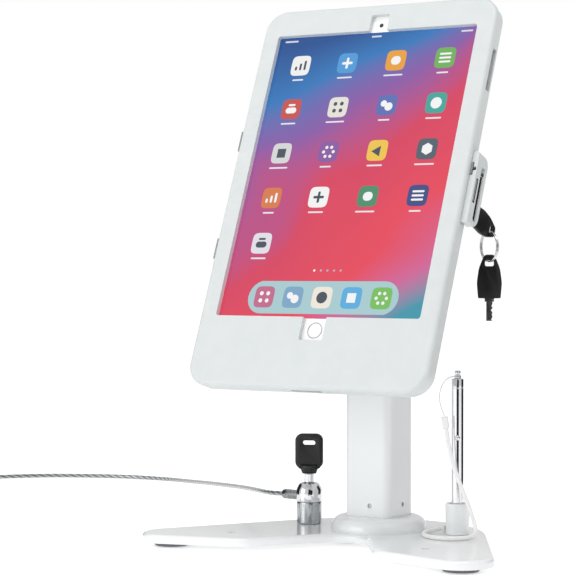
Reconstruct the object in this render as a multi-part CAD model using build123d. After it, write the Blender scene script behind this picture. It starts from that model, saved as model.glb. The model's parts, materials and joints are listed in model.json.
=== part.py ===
"""Countertop tablet stand with a locking case, a cable lock and a tethered stylus.

Millimetres, +Z up, origin on the floor under the column's axis, -Y is the user's side.
The case, the tablet and the swivel are drawn in panel coordinates: u to the right, v up the panel and h out of
the panel, towards the user, all measured from the tilt axis. place() then leans them back.
"""

import math
import os

from build123d import *

# --- driving dimensions ---------------------------------------------------------------------------------------
RECLINE = 22.0  # the panel leans back this far from upright
PIVOT_Z = 224.0  # height of the tilt axis

FOOT_H = 3.0
PLATE_T = 6.0
PLATE_TOP = FOOT_H + PLATE_T
ARM_X, ARM_Y, ARM_R = 112.0, -90.0, 22.0  # round end of each arm of the base
HEEL_Y, HEEL_R = -24.0, 86.0  # round back of the base
BAY_Y, BAY_R = -62.0, 24.0  # round inner end of the bay between the arms
FOOT_R = 12.0
FOOT_AT = [(113.0, -91.0), (-113.0, -91.0), (0.0, 42.0)]
BOLT_X, BOLT_Y, BOLT_R = 76.5, -71.0, 3.2  # counter-fixing holes in the arms
FLANGE_BOLT_R = 23.0

COLLAR_R, COLLAR_H = 33.5, 10.0
COLUMN_W, COLUMN_WALL, COLUMN_ROUND = 36.0, 2.5, 5.5
COLUMN_FOOT_Z, COLUMN_TOP_Z = 13.0, 202.0
COLUMN_HOLE_Z, COLUMN_HOLE_R = 27.0, 1.7

HEAD_W, HEAD_R = 27.0, 12.0  # tilt block between the yoke's ears
TILT_BOLT_R = 4.0
EAR_T, EAR_GAP = 4.0, 0.35
FIT = 0.06  # radial running fit of pins and shafts

FLANGE_H0, FLANGE_H1, FLANGE_R = 32.0, 37.0, 32.0
SWIVEL_H0, SWIVEL_H1, SWIVEL_W = 38.0, 41.0, 96.0
STUD_R = 5.0
PLATE_PITCH = 75.0

CASE_W, CASE_HT, CASE_ROUND = 186.0, 284.0, 16.0
CASE_BACK, CASE_SPLIT, CASE_FRONT = 41.0, 50.2, 55.0
SHELL_WALL, SHELL_FLOOR, SHELL_INSET = 2.2, 2.0, 1.0
TABLET_W, TABLET_L, TABLET_T, TABLET_ROUND = 174.0, 246.0, 7.5, 12.0
TABLET_TOP_V = 138.0
GLASS_H = 51.5  # outer face of the tablet's glass
BEZEL_T = 1.0
SCREEN_W, SCREEN_L, SCREEN_V = 160.0, 213.3, 15.0
HOME_V, HOME_R = -100.0, 5.6
CAMERA_U, CAMERA_V = 2.0, 129.5

HINGE_U, HINGE_H, HINGE_R, HINGE_PIN_R = -93.2, 49.0, 2.3, 1.0
HINGE_V = [41.0, -41.0]
HINGE_L = 32.0

LOCK_U, LOCK_V = 90.9, -8.5  # axis of the case lock
HOUSING_U0, HOUSING_U1, HOUSING_V0, HOUSING_V1 = 92.3, 97.6, -22.0, 29.0
HOUSING_H0, HOUSING_H1 = 35.5, 50.0
SLEEVE_R, PLUG_R = 3.7, 2.7
CRANK_PIN_R = 0.7
CRANK = 3.6  # crank pin's throw, centred on the side of the lock
BOLT_H0, BOLT_H1 = 39.0, 43.0
LINER_V = 2.0
BOLT_U, BOLT_V, BOLT_L = 96.2, -1.25, 32.0  # middle and length of the sliding bar
KEEPER_V = 16.5

KEY_L, KEY_T = 29.5, 2.4
KEY_SLOT_W, KEY_SLOT_L, KEY_BRIDGE = 6.0, 3.8, 4.0
BLADE_W, BLADE_T, BLADE_L = 4.2, 1.5, 13.0
KEY_HEAD_H = 29.0
RING_R, RING_WIRE = 10.0, 0.55
RING_TURN = -31.0  # bearing of the ring's plane

BARREL_X, BARREL_Y, BARREL_R = -57.0, -1.0, 9.0
BARREL_TOP, BAND_TOP, DOME_TOP = 25.0, 33.3, 38.0
CORE_R, TUBE_R = 5.6, 3.6
CABLE_R = 1.75

PEN_X, PEN_Y, PEN_R, PEN_TOP, PEN_FOOT = 60.0, 4.0, 4.15, 116.0, 12.0
PEN_STUD_Z = 75.5
CUP_FOOT_R, CUP_TOP_R, CUP_TOP = 7.1, 8.6, 30.5
STRING_R, TETHER_R = 0.45, 1.5

VIEW = math.radians(32.6)  # the cords are laid out along and across this bearing
ACROSS = (math.cos(VIEW), math.sin(VIEW))
NEAR = (math.sin(VIEW), -math.cos(VIEW))

PANEL = Pos(0, 0, PIVOT_Z) * Rot(-RECLINE, 0, 0)
NODES = {}


# --- small helpers --------------------------------------------------------------------------------------------
def put(name, solid):
    NODES[name] = solid


def place(name, solid):
    """Keep a panel piece, leaned back about the tilt axis."""
    NODES[name] = PANEL * solid


def face_at(h):
    """The sketching plane at height h of the panel, seen by the user."""
    return Plane(origin=(0, -h, 0), x_dir=(1, 0, 0), z_dir=(0, -1, 0))


def layer(sketch, h0, h1):
    return extrude(face_at(h0) * sketch, amount=h1 - h0)


def block(u0, u1, v0, v1, h0, h1):
    return layer(Pos((u0 + u1) / 2, (v0 + v1) / 2) * Rectangle(u1 - u0, v1 - v0), h0, h1)


def rod(u, v, r, h0, h1):
    return layer(Pos(u, v) * Circle(r), h0, h1)


def along_v(u, h, r, v0, v1):
    """A round bar that runs up the panel."""
    return Pos(u, -h, (v0 + v1) / 2) * Cylinder(r, v1 - v0)


def post(x, y, r, z0, z1):
    return Pos(x, y, (z0 + z1) / 2) * Cylinder(r, z1 - z0)


def cone(x, y, r0, r1, z0, z1):
    return Pos(x, y, (z0 + z1) / 2) * Cone(r0, r1, z1 - z0)


def group(solids):
    return Compound(children=list(solids))


def spun(profile, x=0.0, y=0.0):
    """A round body about a vertical axis, from (radius, height) points."""
    outline = make_face(Polyline(*profile, close=True))
    return Pos(x, y, 0) * revolve(Plane.XZ * outline, Axis.Z)


def top_edges(solid, z):
    return solid.edges().filter_by_position(Axis.Z, z - 0.01, z + 0.01)


# --- base -----------------------------------------------------------------------------------------------------
def base_outline():
    """A boomerang: round heel, two arms, and a bay open to the front."""
    body = make_hull(
        [
            *(Pos(0, HEEL_Y) * Circle(HEEL_R)).edges(),
            *(Pos(ARM_X, ARM_Y) * Circle(ARM_R)).edges(),
            *(Pos(-ARM_X, ARM_Y) * Circle(ARM_R)).edges(),
        ]
    )
    front = ARM_Y - ARM_R
    bay = make_hull(
        [
            *(Pos(0, BAY_Y) * Circle(BAY_R)).edges(),
            Line((-66, front - 8), (66, front - 8)),
        ]
    )
    slants = [
        make_face(Polyline((0, front + 8), (s * 48, front + 17), (s * ARM_X, front), (0, front - 9), close=True))
        for s in (-1, 1)
    ]
    outline = body - bay - slants
    inner = [v for v in outline.vertices() if abs(v.X) < 70 and v.Y < -80]
    return fillet(inner, 13.0)


def base_plate():
    plate = Pos(0, 0, FOOT_H) * extrude(base_outline(), amount=PLATE_T)
    plate = fillet(top_edges(plate, PLATE_TOP), 2.6)
    plate = fillet(top_edges(plate, FOOT_H), 1.0)
    for s in (-1, 1):
        plate -= post(s * BOLT_X, BOLT_Y, BOLT_R, 0, PLATE_TOP + 1)
    for x, y in flange_bolts():
        plate -= post(x, y, 2.6, 0, PLATE_TOP + 1)
        plate -= cone(x, y, 5.1, 2.6, FOOT_H - 0.01, FOOT_H + 2.6)
    plate -= Pos(BARREL_X, BARREL_Y, FOOT_H + PLATE_T / 2) * Box(9.2, 4.2, PLATE_T + 2)
    plate -= post(BARREL_X, BARREL_Y, 8.2, FOOT_H - 1, FOOT_H + 2.6)
    plate -= post(PEN_X, PEN_Y, 2.1, 0, PLATE_TOP + 1)
    plate -= cone(PEN_X, PEN_Y, 4.1, 2.1, FOOT_H - 0.01, FOOT_H + 2.1)
    return plate


def flange_bolts():
    d = FLANGE_BOLT_R / math.sqrt(2)
    return [(x, y) for x in (-d, d) for y in (-d, d)]


def foot(x, y, r):
    pad = post(x, y, r, 0, FOOT_H)
    return chamfer(top_edges(pad, 0), 0.6)


def countersunk(x, y, r, head_r, head_h, z0, length):
    return post(x, y, r, z0 + head_h - 0.1, z0 + length) + cone(x, y, head_r, r, z0, z0 + head_h)


def base_screws():
    """Four into the column's flange, and a small one into the stylus cup."""
    screws = [countersunk(x, y, 2.5, 4.9, 2.4, FOOT_H + 0.1, 9.4) for x, y in flange_bolts()]
    screws.append(countersunk(PEN_X, PEN_Y, 1.5, 3.9, 2.0, FOOT_H + 0.1, PLATE_T + 1.8))
    return group(screws)


def column_flange():
    disc = post(0, 0, 30.0, PLATE_TOP, COLUMN_FOOT_Z)
    for x, y in flange_bolts():
        disc -= post(x, y, 2.55, 0, 20)
    return disc


def collar():
    """Domed skirt that hides the welded foot of the column."""
    top = PLATE_TOP + COLLAR_H
    inner = COLLAR_R - 2.5
    side = Line((COLLAR_R, PLATE_TOP), (COLLAR_R, PLATE_TOP + 2.2))
    dome = ThreePointArc((COLLAR_R, PLATE_TOP + 2.2), (COLLAR_R - 2.3, top - 2.6), (25.5, top))
    rest = Polyline((25.5, top), (0, top), (0, COLUMN_FOOT_Z + 0.3), (inner, COLUMN_FOOT_Z + 0.3))
    foot_line = Polyline((inner, COLUMN_FOOT_Z + 0.3), (inner, PLATE_TOP), (COLLAR_R, PLATE_TOP))
    ring = revolve(Plane.XZ * make_face([side, dome, rest, foot_line]), Axis.Z)
    hole = RectangleRounded(COLUMN_W + 0.4, COLUMN_W + 0.4, COLUMN_ROUND)
    return ring - extrude(hole, amount=60)


def column():
    outer = RectangleRounded(COLUMN_W, COLUMN_W, COLUMN_ROUND)
    side = COLUMN_W - 2 * COLUMN_WALL
    inner = RectangleRounded(side, side, COLUMN_ROUND - COLUMN_WALL)
    tube = Pos(0, 0, COLUMN_FOOT_Z) * extrude(outer - inner, amount=COLUMN_TOP_Z - COLUMN_FOOT_Z)
    tube -= Pos(3.0, -COLUMN_W / 2, COLUMN_HOLE_Z) * Rot(90, 0, 0) * Cylinder(COLUMN_HOLE_R, 10)
    tube -= Pos(COLUMN_W / 2, 2.0, COLUMN_HOLE_Z) * Rot(0, 90, 0) * Cylinder(COLUMN_HOLE_R, 10)
    for s in (-1, 1):
        tube -= Pos(0, s * COLUMN_W / 2, COLUMN_TOP_Z - 10) * Rot(90, 0, 0) * Cylinder(2.1, 8)
    return tube


def set_screws():
    """Headless screws, sunk in the two small holes near the foot of the column."""
    front = Pos(3.0, -COLUMN_W / 2 + 1.6, COLUMN_HOLE_Z) * Rot(90, 0, 0) * Cylinder(COLUMN_HOLE_R - 0.1, 1.6)
    side = Pos(COLUMN_W / 2 - 1.6, 2.0, COLUMN_HOLE_Z) * Rot(0, 90, 0) * Cylinder(COLUMN_HOLE_R - 0.1, 1.6)
    return [front, side]


def column_head():
    """Plug in the column's top that carries the tilt barrel."""
    side = COLUMN_W - 2 * COLUMN_WALL - 0.4
    plug = Pos(0, 0, COLUMN_TOP_Z - 20) * extrude(RectangleRounded(side, side, 2.8), amount=20)
    cap = Pos(0, 0, COLUMN_TOP_Z) * extrude(RectangleRounded(COLUMN_W, COLUMN_W, COLUMN_ROUND), amount=3)
    neck_z = COLUMN_TOP_Z + 3
    neck = Pos(0, 0, (neck_z + PIVOT_Z) / 2) * Box(HEAD_W, 2 * HEAD_R, PIVOT_Z - neck_z)
    barrel = Pos(0, 0, PIVOT_Z) * Rot(0, 90, 0) * Cylinder(HEAD_R, HEAD_W)
    head = plug + cap + neck + barrel
    head -= Pos(0, 0, PIVOT_Z) * Rot(0, 90, 0) * Cylinder(TILT_BOLT_R + FIT, 60)
    for s in (-1, 1):
        head -= Pos(0, s * 14, COLUMN_TOP_Z - 10) * Rot(90, 0, 0) * Cylinder(1.85, 14)
    return head


def head_screws():
    screws = []
    for s in (-1, 1):
        shank = Pos(0, s * 13.5, COLUMN_TOP_Z - 10) * Rot(90, 0, 0) * Cylinder(1.8, 10)
        head = Pos(0, s * (COLUMN_W / 2 + 0.9), COLUMN_TOP_Z - 10) * Rot(90, 0, 0) * Cylinder(3.6, 1.8)
        screws.append(shank + head)
    return screws


# --- tilt and swivel ------------------------------------------------------------------------------------------
def tilt_yoke():
    """Flange with two ears that straddle the tilt barrel."""
    yoke = rod(0, 0, FLANGE_R, FLANGE_H0, FLANGE_H1)
    near = HEAD_W / 2 + EAR_GAP
    for s in (-1, 1):
        mid = s * (near + EAR_T / 2)
        ear = Pos(mid, -FLANGE_H0 / 2, 0) * Box(EAR_T, FLANGE_H0, 22)
        eye = Pos(mid, 0, 0) * Rot(0, 90, 0) * Cylinder(11, EAR_T)
        yoke += ear + eye
    yoke -= Rot(0, 90, 0) * Cylinder(TILT_BOLT_R + FIT, 60)
    yoke -= rod(0, 0, STUD_R + FIT, FLANGE_H0 - 1, FLANGE_H1 + 1)
    return yoke


def ear_outside():
    return HEAD_W / 2 + EAR_GAP + EAR_T


def tilt_washers():
    """Friction discs, one outside each ear."""
    x = ear_outside() + 0.6
    disc = Cylinder(9.0, 1.1) - Cylinder(TILT_BOLT_R + 0.1, 3)
    return group(Pos(s * x, 0, PIVOT_Z) * Rot(0, 90, 0) * disc for s in (-1, 1))


def tilt_bolt():
    """Cap screw on the tilt axis, head on the right."""
    seat = ear_outside() + 1.2
    shank = Pos(-3.5, 0, PIVOT_Z) * Rot(0, 90, 0) * Cylinder(TILT_BOLT_R, 2 * seat + 7)
    head = Pos(seat + 2.5, 0, PIVOT_Z) * Rot(0, 90, 0) * (Cylinder(6.6, 5) - Pos(0, 0, 1.5) * hexagon(5.2, 3))
    return shank + head


def hexagon(across, length):
    flat = extrude(RegularPolygon(across / 2, 6, major_radius=False), amount=length)
    return Pos(0, 0, -length / 2) * flat


def tilt_nut():
    seat = ear_outside() + 1.2
    nut = hexagon(12.6, 5.5) - Cylinder(TILT_BOLT_R + 0.05, 9)
    return Pos(-seat - 2.8, 0, PIVOT_Z) * Rot(0, 90, 0) * nut


def swivel_washer():
    return rod(0, 0, FLANGE_R - 2, FLANGE_H1 + 0.1, SWIVEL_H0 - 0.1) - rod(0, 0, STUD_R + 0.2, 30, 40)


def swivel_plate():
    sheet = layer(RectangleRounded(SWIVEL_W, SWIVEL_W, 12), SWIVEL_H0, SWIVEL_H1)
    for u, v in plate_bolts():
        sheet -= rod(u, v, 2.2, SWIVEL_H0 - 1, SWIVEL_H1 + 1)
    return sheet - rod(0, 0, STUD_R + 0.1, SWIVEL_H0 - 1, SWIVEL_H1 + 1)


def plate_bolts():
    d = PLATE_PITCH / 2
    return [(u, v) for u in (-d, d) for v in (-d, d)]


def swivel_stud():
    """Headed stud through the shell, the plate and the yoke's flange."""
    return rod(0, 0, STUD_R, 21.5, CASE_BACK + 0.4) + rod(0, 0, 9.0, CASE_BACK + 0.4, CASE_BACK + SHELL_FLOOR)


def spring_washers():
    lower = rod(0, 0, 9.5, FLANGE_H0 - 1.5, FLANGE_H0 - 0.1)
    upper = rod(0, 0, 8.5, FLANGE_H0 - 3.0, FLANGE_H0 - 1.6)
    bore = rod(0, 0, STUD_R + 0.1, 20, 40)
    return group([lower - bore, upper - bore])


def swivel_nut():
    nut = layer(RegularPolygon(7.5, 6, major_radius=False), FLANGE_H0 - 9.2, FLANGE_H0 - 3.1)
    return nut - rod(0, 0, STUD_R + 0.05, 20, 40)


def plate_screws():
    """Pan-head screws from the plate into bosses of the shell."""
    screws = []
    for u, v in plate_bolts():
        head = rod(u, v, 3.9, SWIVEL_H0 - 2.3, SWIVEL_H0)
        socket = rod(u, v, 1.3, SWIVEL_H0 - 2.4, SWIVEL_H0 - 0.9)
        screws.append(head + rod(u, v, 2.0, SWIVEL_H0, CASE_BACK + 1.2) - socket)
    return group(screws)


# --- case -----------------------------------------------------------------------------------------------------
def rear_shell():
    """Shallow tray with gaps in its side walls for the tablet's buttons and sockets."""
    w, ht = CASE_W - 2 * SHELL_INSET, CASE_HT - 2 * SHELL_INSET
    shell = layer(RectangleRounded(w, ht, CASE_ROUND - 1), CASE_BACK, CASE_SPLIT)
    shell = fillet(back_edges(shell), 2.0)
    inner = RectangleRounded(w - 2 * SHELL_WALL, ht - 2 * SHELL_WALL, CASE_ROUND - SHELL_WALL - 1)
    shell -= layer(inner, CASE_BACK + SHELL_FLOOR, CASE_SPLIT + 1)
    shell -= block(85, 95, 75, 106, CASE_BACK + 3, CASE_SPLIT + 1)
    shell -= block(-50, -30, 130, 145, CASE_BACK + 4, CASE_SPLIT + 1)
    shell -= block(-12, 12, -145, -132, CASE_BACK + 4, CASE_SPLIT + 1)
    shell -= block(87.0, 95, HOUSING_V0 + 2.2, HOUSING_V1 - 2.2, CASE_BACK - 1, CASE_SPLIT + 1)
    for v in HINGE_V:
        shell -= block(-95, -90.6, v - HINGE_L / 2 - 1, v + HINGE_L / 2 + 1, 46.2, CASE_SPLIT + 1)
    for u, v in plate_bolts():
        shell -= rod(u, v, 2.05, CASE_BACK - 1, CASE_BACK + 1.3)
    shell -= rod(0, 0, STUD_R + 0.1, CASE_BACK - 1, CASE_BACK + 5)
    shell -= rod(0, 0, 9.1, CASE_BACK + 0.4, CASE_BACK + 5)
    return shell


def back_edges(solid):
    """The outer rim of the tray's back."""
    return solid.edges().filter_by_position(Axis.Y, -CASE_BACK - 0.01, -CASE_BACK + 0.01)


def window():
    """Opening over the display, with notches for the camera and the home button."""
    pane = Pos(0, SCREEN_V) * RectangleRounded(SCREEN_W, SCREEN_L, 2.0)
    top = Pos(CAMERA_U, CAMERA_V - 4) * RectangleRounded(14.5, 17, 1.5)
    foot_notch = Pos(0, HOME_V + 4) * RectangleRounded(18.6, 24, 1.5)
    return pane + top + foot_notch


def front_frame():
    frame = layer(RectangleRounded(CASE_W, CASE_HT, CASE_ROUND), CASE_SPLIT + 0.2, CASE_FRONT)
    frame = fillet(front_edges(frame), 2.4)
    recess = RectangleRounded(CASE_W - 6, CASE_HT - 4, CASE_ROUND - 2)
    frame -= layer(recess, CASE_SPLIT, GLASS_H + 0.2)
    frame -= layer(window(), CASE_SPLIT, CASE_FRONT + 1)
    for v in HINGE_V:
        gap = HINGE_L / 2 + 0.5
        frame -= along_v(HINGE_U, HINGE_H, HINGE_R + 0.4, v - gap, v + gap)
    return frame


def front_edges(solid):
    return solid.edges().filter_by_position(Axis.Y, -CASE_FRONT - 0.01, -CASE_FRONT + 0.01)


def rear_knuckles():
    """Two outer knuckles of each hinge, with tabs that lie in the shell's notches."""
    knuckles = []
    for v in HINGE_V:
        for s in (-1, 1):
            mid = v + s * 12
            barrel = along_v(HINGE_U, HINGE_H, HINGE_R, mid - 4, mid + 4)
            tab = block(HINGE_U - 1.0, -90.7, mid - 4, mid + 4, 46.3, HINGE_H - 1.2)
            bore = along_v(HINGE_U, HINGE_H, HINGE_PIN_R + FIT, mid - 5, mid + 5)
            knuckles.append(barrel + tab - bore)
    return group(knuckles)


def frame_knuckles():
    knuckles = []
    for v in HINGE_V:
        barrel = along_v(HINGE_U, HINGE_H, HINGE_R, v - 7.5, v + 7.5)
        tab = block(HINGE_U - HINGE_R + 0.3, HINGE_U + 1.6, v - 7.5, v + 7.5, HINGE_H, 52.2)
        tab -= front_frame_block()
        bore = along_v(HINGE_U, HINGE_H, HINGE_PIN_R + FIT, v - 9, v + 9)
        knuckles.append(barrel + tab - bore)
    return group(knuckles)


def front_frame_block():
    """The space that the plain rim of the front frame fills beside the hinges."""
    rim = layer(RectangleRounded(CASE_W, CASE_HT, CASE_ROUND), CASE_SPLIT + 0.2, CASE_FRONT)
    for v in HINGE_V:
        gap = HINGE_L / 2 + 0.5
        rim -= along_v(HINGE_U, HINGE_H, HINGE_R + 0.4, v - gap, v + gap)
    return rim


def hinge_pins():
    half = HINGE_L / 2 + 0.3
    return group(along_v(HINGE_U, HINGE_H, HINGE_PIN_R, v - half, v + half) for v in HINGE_V)


def back_pads():
    """Foam strips between the tray and the tablet's back."""
    h0 = CASE_BACK + SHELL_FLOOR
    h1 = GLASS_H - TABLET_T
    return group(block(u - 6, u + 6, v - 45, v + 45, h0, h1) for u in (-70, 70) for v in (-50, 75))


def corner_bumpers():
    """Rubber blocks that hold the tablet's corners in the tray."""
    tablet = tablet_block(0.1)
    room = layer(
        RectangleRounded(
            CASE_W - 2 * SHELL_INSET - 2 * SHELL_WALL - 0.2,
            CASE_HT - 2 * SHELL_INSET - 2 * SHELL_WALL - 0.2,
            CASE_ROUND - SHELL_WALL - 1.1,
        ),
        CASE_BACK + SHELL_FLOOR,
        CASE_SPLIT,
    )
    low = TABLET_TOP_V - TABLET_L
    spots = [(-81, -90, low + 10, low - 6), (81, 90, low + 10, low - 6)]
    spots += [(-81, -90, TABLET_TOP_V - 14, 139), (81, 90, TABLET_TOP_V - 14, 139)]
    bumpers = []
    for u0, u1, v0, v1 in spots:
        corner = block(min(u0, u1), max(u0, u1), min(v0, v1), max(v0, v1), 43, CASE_SPLIT)
        bumpers += (corner & room) - tablet
    return group(bumpers)


def tablet_block(grow):
    outline = RectangleRounded(TABLET_W + 2 * grow, TABLET_L + 2 * grow, TABLET_ROUND + grow)
    return layer(Pos(0, TABLET_TOP_V - TABLET_L / 2) * outline, GLASS_H - TABLET_T, GLASS_H)


def tablet_body():
    """Metal back of the tablet, up to the bezel."""
    middle = Pos(0, TABLET_TOP_V - TABLET_L / 2) * RectangleRounded(TABLET_W, TABLET_L, TABLET_ROUND)
    body = layer(middle, GLASS_H - TABLET_T, GLASS_H - BEZEL_T)
    low = GLASS_H - TABLET_T
    body = fillet(body.edges().filter_by_position(Axis.Y, -low - 0.01, -low + 0.01), 2.5)
    return body - rod(0, HOME_V, HOME_R + 0.2, GLASS_H - 2.4, GLASS_H)


def tablet_bezel():
    middle = Pos(0, TABLET_TOP_V - TABLET_L / 2) * RectangleRounded(TABLET_W - 1, TABLET_L - 1, TABLET_ROUND - 0.5)
    glass = middle - Pos(0, SCREEN_V) * Rectangle(SCREEN_W, SCREEN_L)
    bezel = layer(glass, GLASS_H - BEZEL_T, GLASS_H) - rod(0, HOME_V, HOME_R + 0.15, 40, 60)
    return bezel


def tablet_screen():
    return layer(Pos(0, SCREEN_V) * Rectangle(SCREEN_W - 0.1, SCREEN_L - 0.1), GLASS_H - BEZEL_T, GLASS_H)


def home_button():
    return rod(0, HOME_V, HOME_R, GLASS_H - 1.6, GLASS_H - 0.05)


# --- case lock ------------------------------------------------------------------------------------------------
def lock_housing():
    """Side block of the case round the lock, the sliding bolt and the keeper's pocket."""
    width, length = HOUSING_U1 - HOUSING_U0, HOUSING_V1 - HOUSING_V0
    mid_u, mid_v = (HOUSING_U0 + HOUSING_U1) / 2, (HOUSING_V0 + HOUSING_V1) / 2
    plan = layer(Pos(mid_u, mid_v) * RectangleRounded(width, length, 2.2), HOUSING_H0, HOUSING_H1)
    height, mid_h = HOUSING_H1 - HOUSING_H0 + 10, (HOUSING_H0 + HOUSING_H1 + 10) / 2
    side = RectangleRounded(height, length, 8.0)
    lens = Pos(90, -mid_h, mid_v) * Rot(0, 90, 0) * Rot(0, 0, 90) * extrude(side, amount=20)
    inner = block(87.3, 93, HOUSING_V0 + 2.5, HOUSING_V1 - 2.5, HOUSING_H0 + 4, HOUSING_H1)
    body = (plan & lens) + inner
    body -= rod(LOCK_U, LOCK_V, SLEEVE_R + 0.05, 30, 45.5)
    body -= block(88.4, 96.2, LOCK_V - 5.4, LOCK_V + 5.3, 45.4, 49.2)
    body -= block(BOLT_U - 1.15, 105, BOLT_V - 16.6, BOLT_V + 21.7, BOLT_H0 - 0.3, BOLT_H1 + 0.3)
    body -= block(94.9, 96.2, LOCK_V - 5.4, LOCK_V + 5.3, BOLT_H1, 49.2)
    body -= block(92.0, 97.1, KEEPER_V - 1.3, KEEPER_V + 1.3, 36.5, 55)
    body -= block(89.9, 95.1, KEEPER_V - 4.5, KEEPER_V + 4.5, 48.9, 55)
    body -= block(96.5, 105, LINER_V - 8.6, LINER_V + 8.6, 45.0, 47.8)
    return body


def slot_liner():
    """Metal liner of the small slot in the housing's side."""
    liner = block(96.6, HOUSING_U1, LINER_V - 8.5, LINER_V + 8.5, 45.1, 47.7)
    return liner - block(97.0, 105, LINER_V - 7.7, LINER_V + 7.7, 45.7, 47.1)


def lock_sleeve():
    sleeve = rod(LOCK_U, LOCK_V, SLEEVE_R, 31.6, 45.3)
    return sleeve - rod(LOCK_U, LOCK_V, PLUG_R + FIT, 30, 50)


def crank_at():
    """The crank pin with the lock open, half a quarter turn below the horizontal."""
    d = CRANK / math.sqrt(2)
    return LOCK_U + d, LOCK_V - d


def lock_plug():
    """Turning core with a slot for the blade and a crank at its inner end."""
    plug = rod(LOCK_U, LOCK_V, PLUG_R, 31.4, 45.3) + rod(LOCK_U, LOCK_V, 1.2, 45.3, 47.7)
    plug -= block(LOCK_U - 0.95, LOCK_U + 0.95, LOCK_V - 2.25, LOCK_V + 2.25, 30, 44.6)
    u, v = crank_at()
    crank = layer(make_hull([*(Pos(LOCK_U, LOCK_V) * Circle(2.2)).edges(), *(Pos(u, v) * Circle(1.3)).edges()]), 47.7, 48.9)
    return plug + crank + rod(u, v, CRANK_PIN_R, 45.9, 47.7)


def lock_bolt():
    """Sliding bar with round ends and a forked arm round the crank pin."""
    bar = Pos(BOLT_U, -(BOLT_H0 + BOLT_H1) / 2, BOLT_V) * Rot(0, 90, 0) * extrude(
        SlotOverall(BOLT_L, BOLT_H1 - BOLT_H0, rotation=0), amount=1.0, both=True
    )
    v = crank_at()[1]
    web = block(95.3, 96.0, v - 2.4, v + 2.4, BOLT_H1 - 0.5, 47.4)
    arm = block(92.6, 96.0, v - 2.4, v + 2.4, 45.8, 47.4)
    fork = block(90, 95.6, v - 1.05, v + 1.05, 45, 48)
    return bar + web + arm - fork


def keeper():
    """Hook under the bolt, on a flange fixed beneath the frame's ear."""
    strip = block(92.4, 94.6, KEEPER_V - 0.9, KEEPER_V + 0.9, 36.9, 49.2)
    hook = block(92.4, 96.3, KEEPER_V - 0.9, KEEPER_V + 0.9, 36.9, 38.5)
    flange = block(90.4, 94.6, KEEPER_V - 4.1, KEEPER_V + 4.1, 49.2, CASE_SPLIT + 0.2)
    return strip + hook + flange


def key_outline():
    """Bullet-shaped head, nose up, with a slot near its nose; the top edge is at zero."""
    right = [(3.4, 0), (7.2, -9.5), (8.5, -19.0), (7.6, -KEY_L)]
    left = [(-x, y) for x, y in reversed(right)]
    head = make_face(Polyline(*right, *left, close=True))
    for y, r in ((0, 3.0), (-9.5, 18.0), (-19.0, 20.0), (-KEY_L, 0.9)):
        head = fillet(head.vertices().filter_by_position(Axis.Y, y - 0.5, y + 0.5), r)
    slot = Pos(0, -KEY_BRIDGE - KEY_SLOT_L / 2) * RectangleRounded(KEY_SLOT_W, KEY_SLOT_L, 1.2)
    return head - slot


def key_head():
    """Moulded head, centred on the key's plane."""
    return extrude(key_outline(), amount=KEY_T / 2, both=True)


def key_blade():
    """Shoulder and notched blade below the head."""
    shoulder = Pos(0, -KEY_L + 0.7) * Rectangle(6.4, 6.0)
    blade = Pos(0, -KEY_L - 2.2 - BLADE_L / 2) * Rectangle(BLADE_W, BLADE_L)
    sketch = shoulder + blade
    for i, deep in enumerate((0.9, 1.3, 0.6, 1.1)):
        y = -KEY_L - 5.0 - 3.0 * i
        sketch -= Pos(BLADE_W / 2, y) * Rot(0, 0, 45) * Rectangle(deep * 1.2, deep * 1.2)
    return extrude(sketch, amount=BLADE_T / 2, both=True)


def in_lock(solid):
    """Carry a key from its own plane into the lock, head outside, its flat side to the right."""
    far_end = KEY_HEAD_H - KEY_L
    return Pos(LOCK_U, -far_end, LOCK_V) * Rot(0, 90, 0) * solid


def ring_top():
    """Where the ring's wire passes through the slot of the key in the lock, near the slot's lower end."""
    slot_h = KEY_HEAD_H - KEY_L + KEY_BRIDGE + KEY_SLOT_L / 2
    slot_v = LOCK_V - 1.9
    a = math.radians(RECLINE)
    y = -slot_h * math.cos(a) + slot_v * math.sin(a)
    z = PIVOT_Z + slot_h * math.sin(a) + slot_v * math.cos(a)
    return LOCK_U, y, z


def key_ring():
    """The ring hangs straight down from the key in the lock."""
    x, y, z = ring_top()
    return Pos(x, y, z - RING_R) * Rot(0, 0, RING_TURN) * Rot(90, 0, 0) * Torus(RING_R, RING_WIRE)


def spare(solid):
    """Hang a key from the bottom of the ring, its flat side to the user."""
    x, y, z = ring_top()
    top = z - 2 * RING_R + KEY_BRIDGE + RING_WIRE + 0.25
    return Pos(x, y, top) * Rot(0, 0, math.degrees(VIEW)) * Rot(90, 0, 0) * solid


# --- cable lock -----------------------------------------------------------------------------------------------
def lock_anchor():
    """T-shaped foot that holds the cable lock in the plate's slot."""
    stem = Pos(BARREL_X, BARREL_Y, FOOT_H + PLATE_T / 2 + 0.9) * Box(9.0, 4.0, PLATE_T - 1.8)
    return stem + post(BARREL_X, BARREL_Y, 7.9, FOOT_H + 0.4, FOOT_H + 2.4)


def barrel_body():
    profile = [
        (0, PLATE_TOP),
        (BARREL_R - 0.9, PLATE_TOP),
        (BARREL_R - 0.2, PLATE_TOP + 0.8),
        (BARREL_R, BARREL_TOP - 0.5),
        (BARREL_R - 0.5, BARREL_TOP),
        (0, BARREL_TOP),
    ]
    body = spun(profile, BARREL_X, BARREL_Y)
    return body - post(BARREL_X, BARREL_Y, CORE_R + FIT, 14, 60)


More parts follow.
